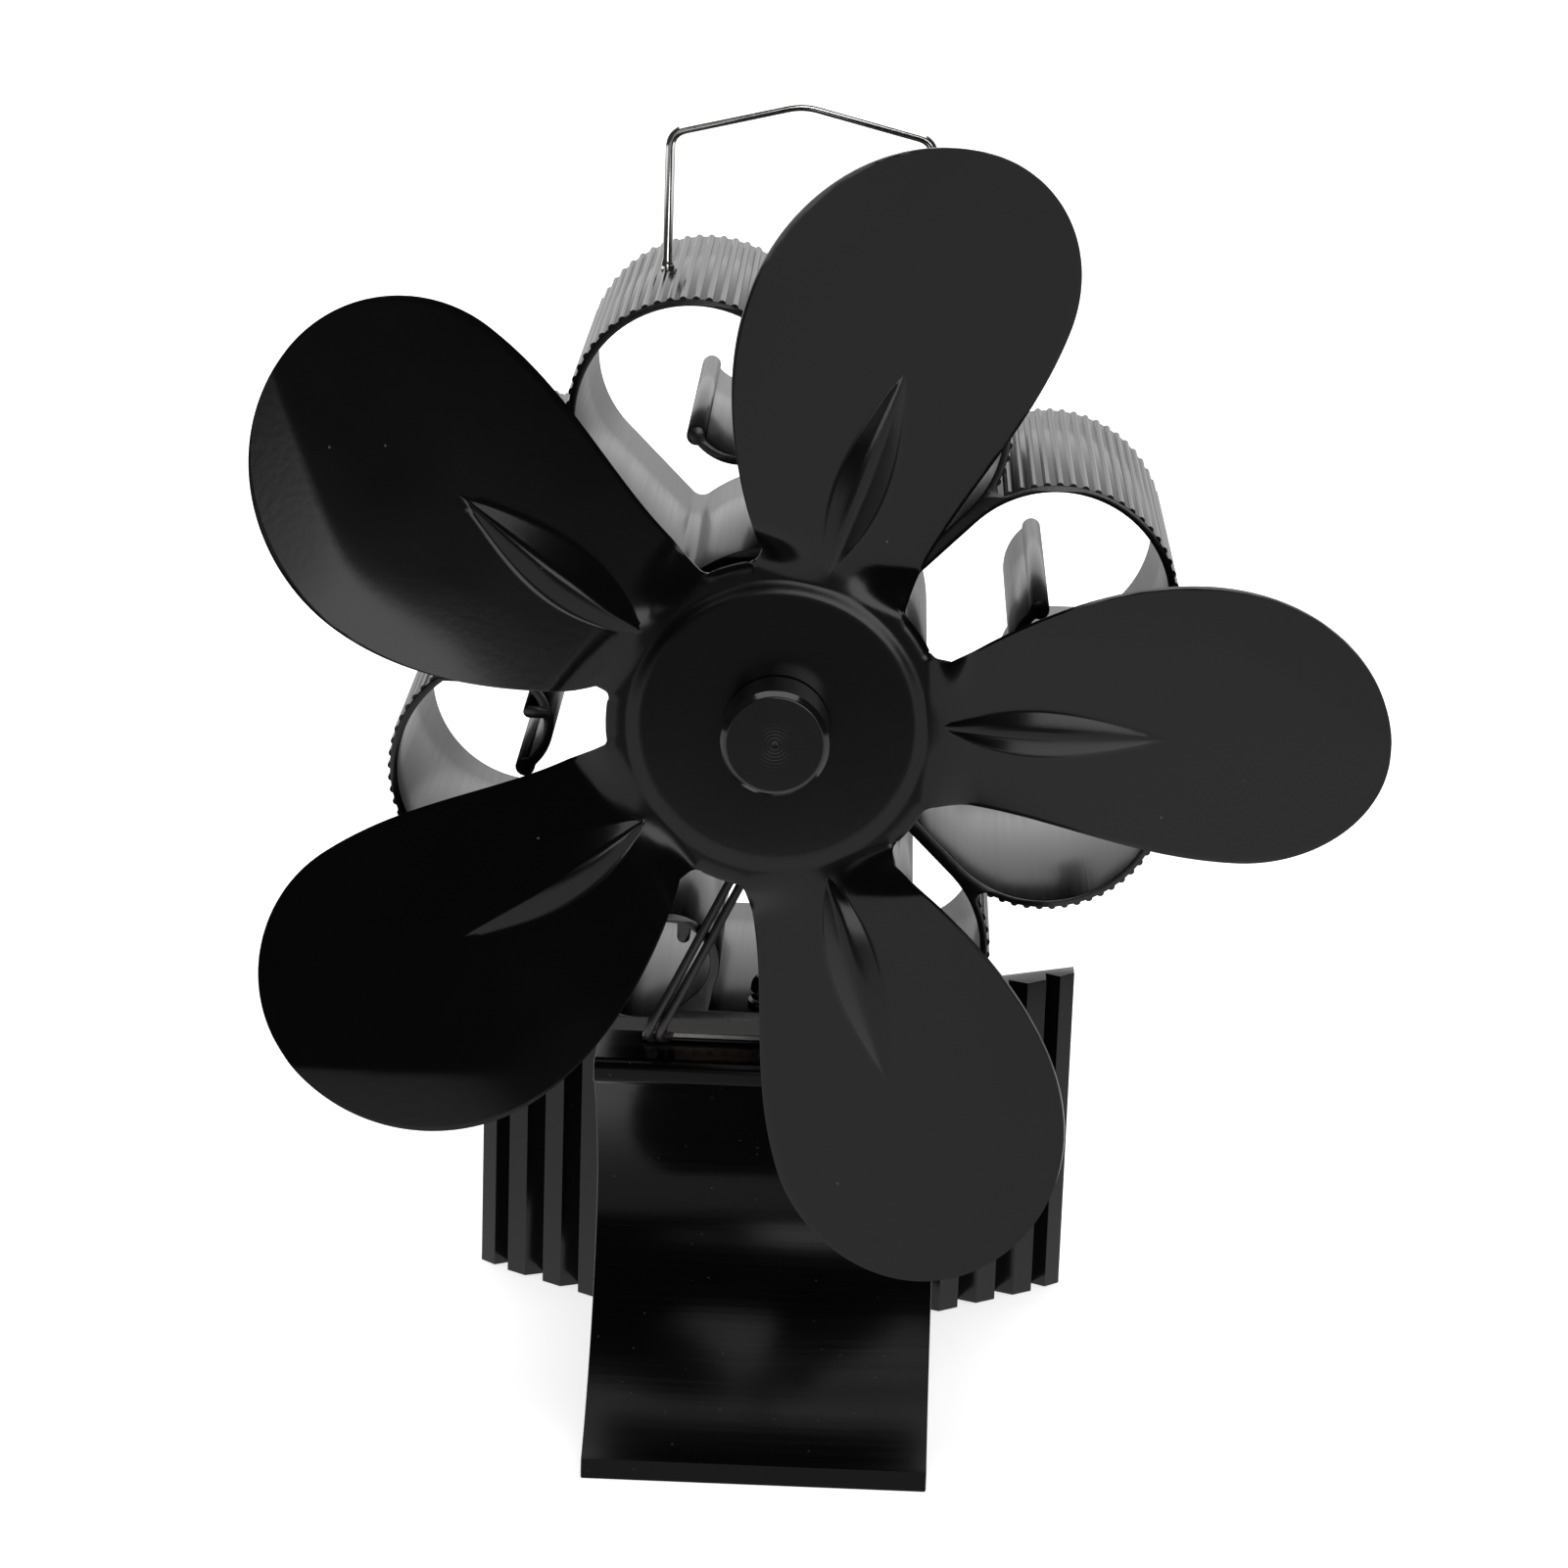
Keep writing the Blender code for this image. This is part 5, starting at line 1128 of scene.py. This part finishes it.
piece("can", turned(can), plated_finish, "stand", "motor_can")
cap_front = MOTOR_BACK + GAP
cap = [(BOSS_BORE, cap_front), (CAN_RADIUS, cap_front), (CAN_RADIUS, CAP_BACK - 0.4)]
cap += [(CAN_RADIUS - 0.4, CAP_BACK), (8, CAP_BACK), (7.6, 32.8), (5.2, 32.8), (4.8, CAP_BACK)]
cap += [(BOSS_BORE, CAP_BACK)]
piece("cap", turned(cap), nylon_finish, "stand", "motor_end_cap")

# %% Bearings and magnets
CORE_Y, CORE_LENGTH, MAGNET_LENGTH = 16.3, 13, 15
for end, front in (("front", BOSS_FRONT), ("rear", MOTOR_BACK)):
    ring = [(BORE, front + 0.2), (2, front), (2.9, front), (3, front + 0.1), (3, front + 2.5)]
    ring += [(2.9, front + 2.6), (BORE, front + 2.6)]
    piece(f"bearing_{end}", turned(ring, 48), bronze_finish, "stand", f"motor_bearing_{end}")
for side, facing in (("left", 180), ("right", 0)):
    outline = arc((0, 0), 14.6, facing - 62, facing + 62, 40)
    outline += arc((0, 0), 11, facing + 62, facing - 62, 40)
    magnet = about_axis([outline], MAGNET_LENGTH, 0.3, CORE_Y)
    piece(f"magnet_{side}", magnet, ferrite_finish, "stand", f"motor_magnet_{side}")

# %% Brushes and tabs
COMMUTATOR = 3.2
commutator_front = CORE_Y + CORE_LENGTH / 2 + GAP
for side, x in (("left", -4.7), ("right", 4.7)):
    outline = [(x - 1.6, -1), (x + 1.6, -1), (x + 1.6, 1), (x - 1.6, 1)]
    brush = about_axis([outline], 2, 0.15, commutator_front + COMMUTATOR / 2)
    piece(f"brush_{side}", brush, graphite_finish, "stand", f"motor_brush_{side}")
for side, x in (("left", -5), ("right", 5)):
    blank = [(x - 1.2, -2.1), (x + 1.2, -2.1), (x + 1.2, 1.4), (x + 0.6, 2.1), (x - 0.6, 2.1), (x - 1.2, 1.4)]
    tab = extruded([blank, circle((x, 0.6), 0.5, 20)], 0.5, 0.08)
    moved(tab, FROM_ABOVE, 0, TAB_Y, AXIS - 8)
    piece(f"tab_{side}", tab, bronze_finish, "stand", f"motor_terminal_{side}")

# %% [markdown]
# ## Armature and commutator
# What turns inside the motor is a core with three poles, shown in the copper of its windings, and a
# copper commutator on the same shaft. No turns of wire are laid.

# %% Armature
POLES, CORE, POLE_REACH = 3, 4.2, 10.4
pole = 360 / POLES
shoe, neck, shoe_root = pole * 0.42, pole * 0.21, POLE_REACH * 0.72
neck_outer = math.degrees(math.asin(CORE * math.sin(math.radians(neck)) / shoe_root))
outline = []
for facing in (pole * i for i in range(POLES)):
    outline += [polar((0, 0), CORE, facing - neck), polar((0, 0), shoe_root, facing - neck_outer)]
    outline += arc((0, 0), POLE_REACH, facing - shoe, facing + shoe, 30)
    outline += [polar((0, 0), shoe_root, facing + neck_outer), polar((0, 0), CORE, facing + neck)]
core = about_axis([outline, circle((0, 0), BORE, 40)], CORE_LENGTH, 0.1, CORE_Y)
piece("armature", core, copper_finish, "rotor", "motor_armature")
commutator_back = commutator_front + COMMUTATOR
ring = [(BORE, commutator_front), (2.7, commutator_front), (2.8, commutator_front + 0.1)]
ring += [(2.8, commutator_back - 0.1), (2.7, commutator_back), (BORE, commutator_back)]
piece("commutator", turned(ring, 60), copper_finish, "rotor", "motor_commutator")

# %% [markdown]
# ## Floor and light
# The photograph has a white ground and soft lamps. The floor runs into a curved backdrop. To the camera
# it glows white, a little less around the fan, where the shadow has to stay, and so does the world
# beyond its edge. Black metal shows what it mirrors: to glossy rays the paper glows with painted light,
# with painted shade straight in front of the fan, low behind it and far out in front on the left, fitted
# to the photograph's reflections.

# %% Floor and backdrop
FLOOR_FRONT, BEND_START, BEND, BACKDROP_TOP, HALF_WIDTH = -2.2, 1.3, 0.9, 3.2, 3
profile = [(FLOOR_FRONT, 0), (BEND_START, 0), *arc((BEND_START, BEND), BEND, 270, 360, 24)]
profile += [(BEND_START + BEND, BACKDROP_TOP)]
shape = bmesh.new()
sides = [[shape.verts.new((x, y, z)) for y, z in profile] for x in (-HALF_WIDTH, HALF_WIDTH)]
for i in range(len(profile) - 1):
    shape.faces.new((sides[0][i], sides[1][i], sides[1][i + 1], sides[0][i + 1]))
sweep = written(shape, bpy.data.meshes.new("sweep"))
sweep.shade_smooth()

# %% Paper
BLACK, WHITE = (0, 0, 0, 1), (1, 1, 1, 1)
paper = Finish("paper white", (0.86, 0.86, 0.86), 0.9)
sweep.materials.append(paper.material)
x, y, z = (paper.along(axis) for axis in "XYZ")
far = (x * x + y * y).between(0.06, 0.3)
seen = paper.node("ShaderNodeLightPath", out="Is Camera Ray") * (0.7 + 0.3 * far)
glow = paper.node("ShaderNodeMix", {0: seen, 6: BLACK, 7: WHITE}, out=2, data_type="RGBA")
paper.drive("Emission Color", glow)
paper.shader.inputs["Emission Strength"].default_value = 1.0
# Painted shade in reflections: glossy rays see the paper's glow dimmed straight in front of the fan, low
# behind it and far out in front on the left.
in_front = 1 - (y + 0.42).between(0, 0.16)
beside = (x / y).maths("ABSOLUTE").between(0.16, 0.34)
behind = y.between(0.2, 0.5) * (1 - z.between(0.0, 0.12))
distant = (1 - (y + 0.95).between(0, 0.3)) * (1 - x.between(-0.15, 0.1))
painted_reflection_level = (0.98 - 0.77 * in_front * (1 - beside) - 0.5 * behind) * (1 - 0.75 * distant)
# Painted reflected light: an emission on the paper that only glossy rays see.
painted_reflection_glow = put(paper.tree, "ShaderNodeEmission", {"Strength": painted_reflection_level})
glossy = paper.node("ShaderNodeLightPath", out="Is Glossy Ray")
mixed = put(paper.tree, "ShaderNodeMixShader", {0: glossy, 1: paper.shader, 2: painted_reflection_glow})
paper.tree.links.new(mixed.outputs[0], paper.tree.nodes["Material Output"].inputs["Surface"])
floor = shown("floor", sweep)
floor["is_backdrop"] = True
print("paper nodes", len(paper.tree.nodes))


# %% Lamps and world
def lamp(name, place, aim, width, height, power):
    light = bpy.data.lights.new(name, "AREA")
    light.shape = "RECTANGLE"
    light.size = width
    light.size_y = height
    light.energy = power
    holder = shown(name, light)
    holder.location = place
    holder.rotation_euler = (Vector(aim) - Vector(place)).to_track_quat("-Z", "Y").to_euler()


lamp("top", (0, 0.2, 1.5), (0, 0.2, 0), 1.6, 2.6, 30)
lamp("front right", (0.25, -1.3, 0.27), (0, 0, 0.17), 0.6, 0.38, 2.5)
lamp("front left", (-0.28, -1.3, 0.35), (0, 0, 0.17), 0.2, 0.2, 0.09)
world = bpy.data.worlds.new("studio")
world.use_nodes = True
ray = put(world.node_tree, "ShaderNodeLightPath").outputs["Is Camera Ray"]
dim = put(world.node_tree, "ShaderNodeMix", {0: ray, 6: (0.03, 0.03, 0.03, 1), 7: WHITE}, data_type="RGBA")
world.node_tree.links.new(dim.outputs[2], world.node_tree.nodes["Background"].inputs["Color"])
bpy.context.scene.world = world
bpy.context.scene.view_settings.view_transform = "Standard"

# %% Sizes and end
low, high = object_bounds()
print("scene size in mm", [round(side / MM, 1) for side in high - low])
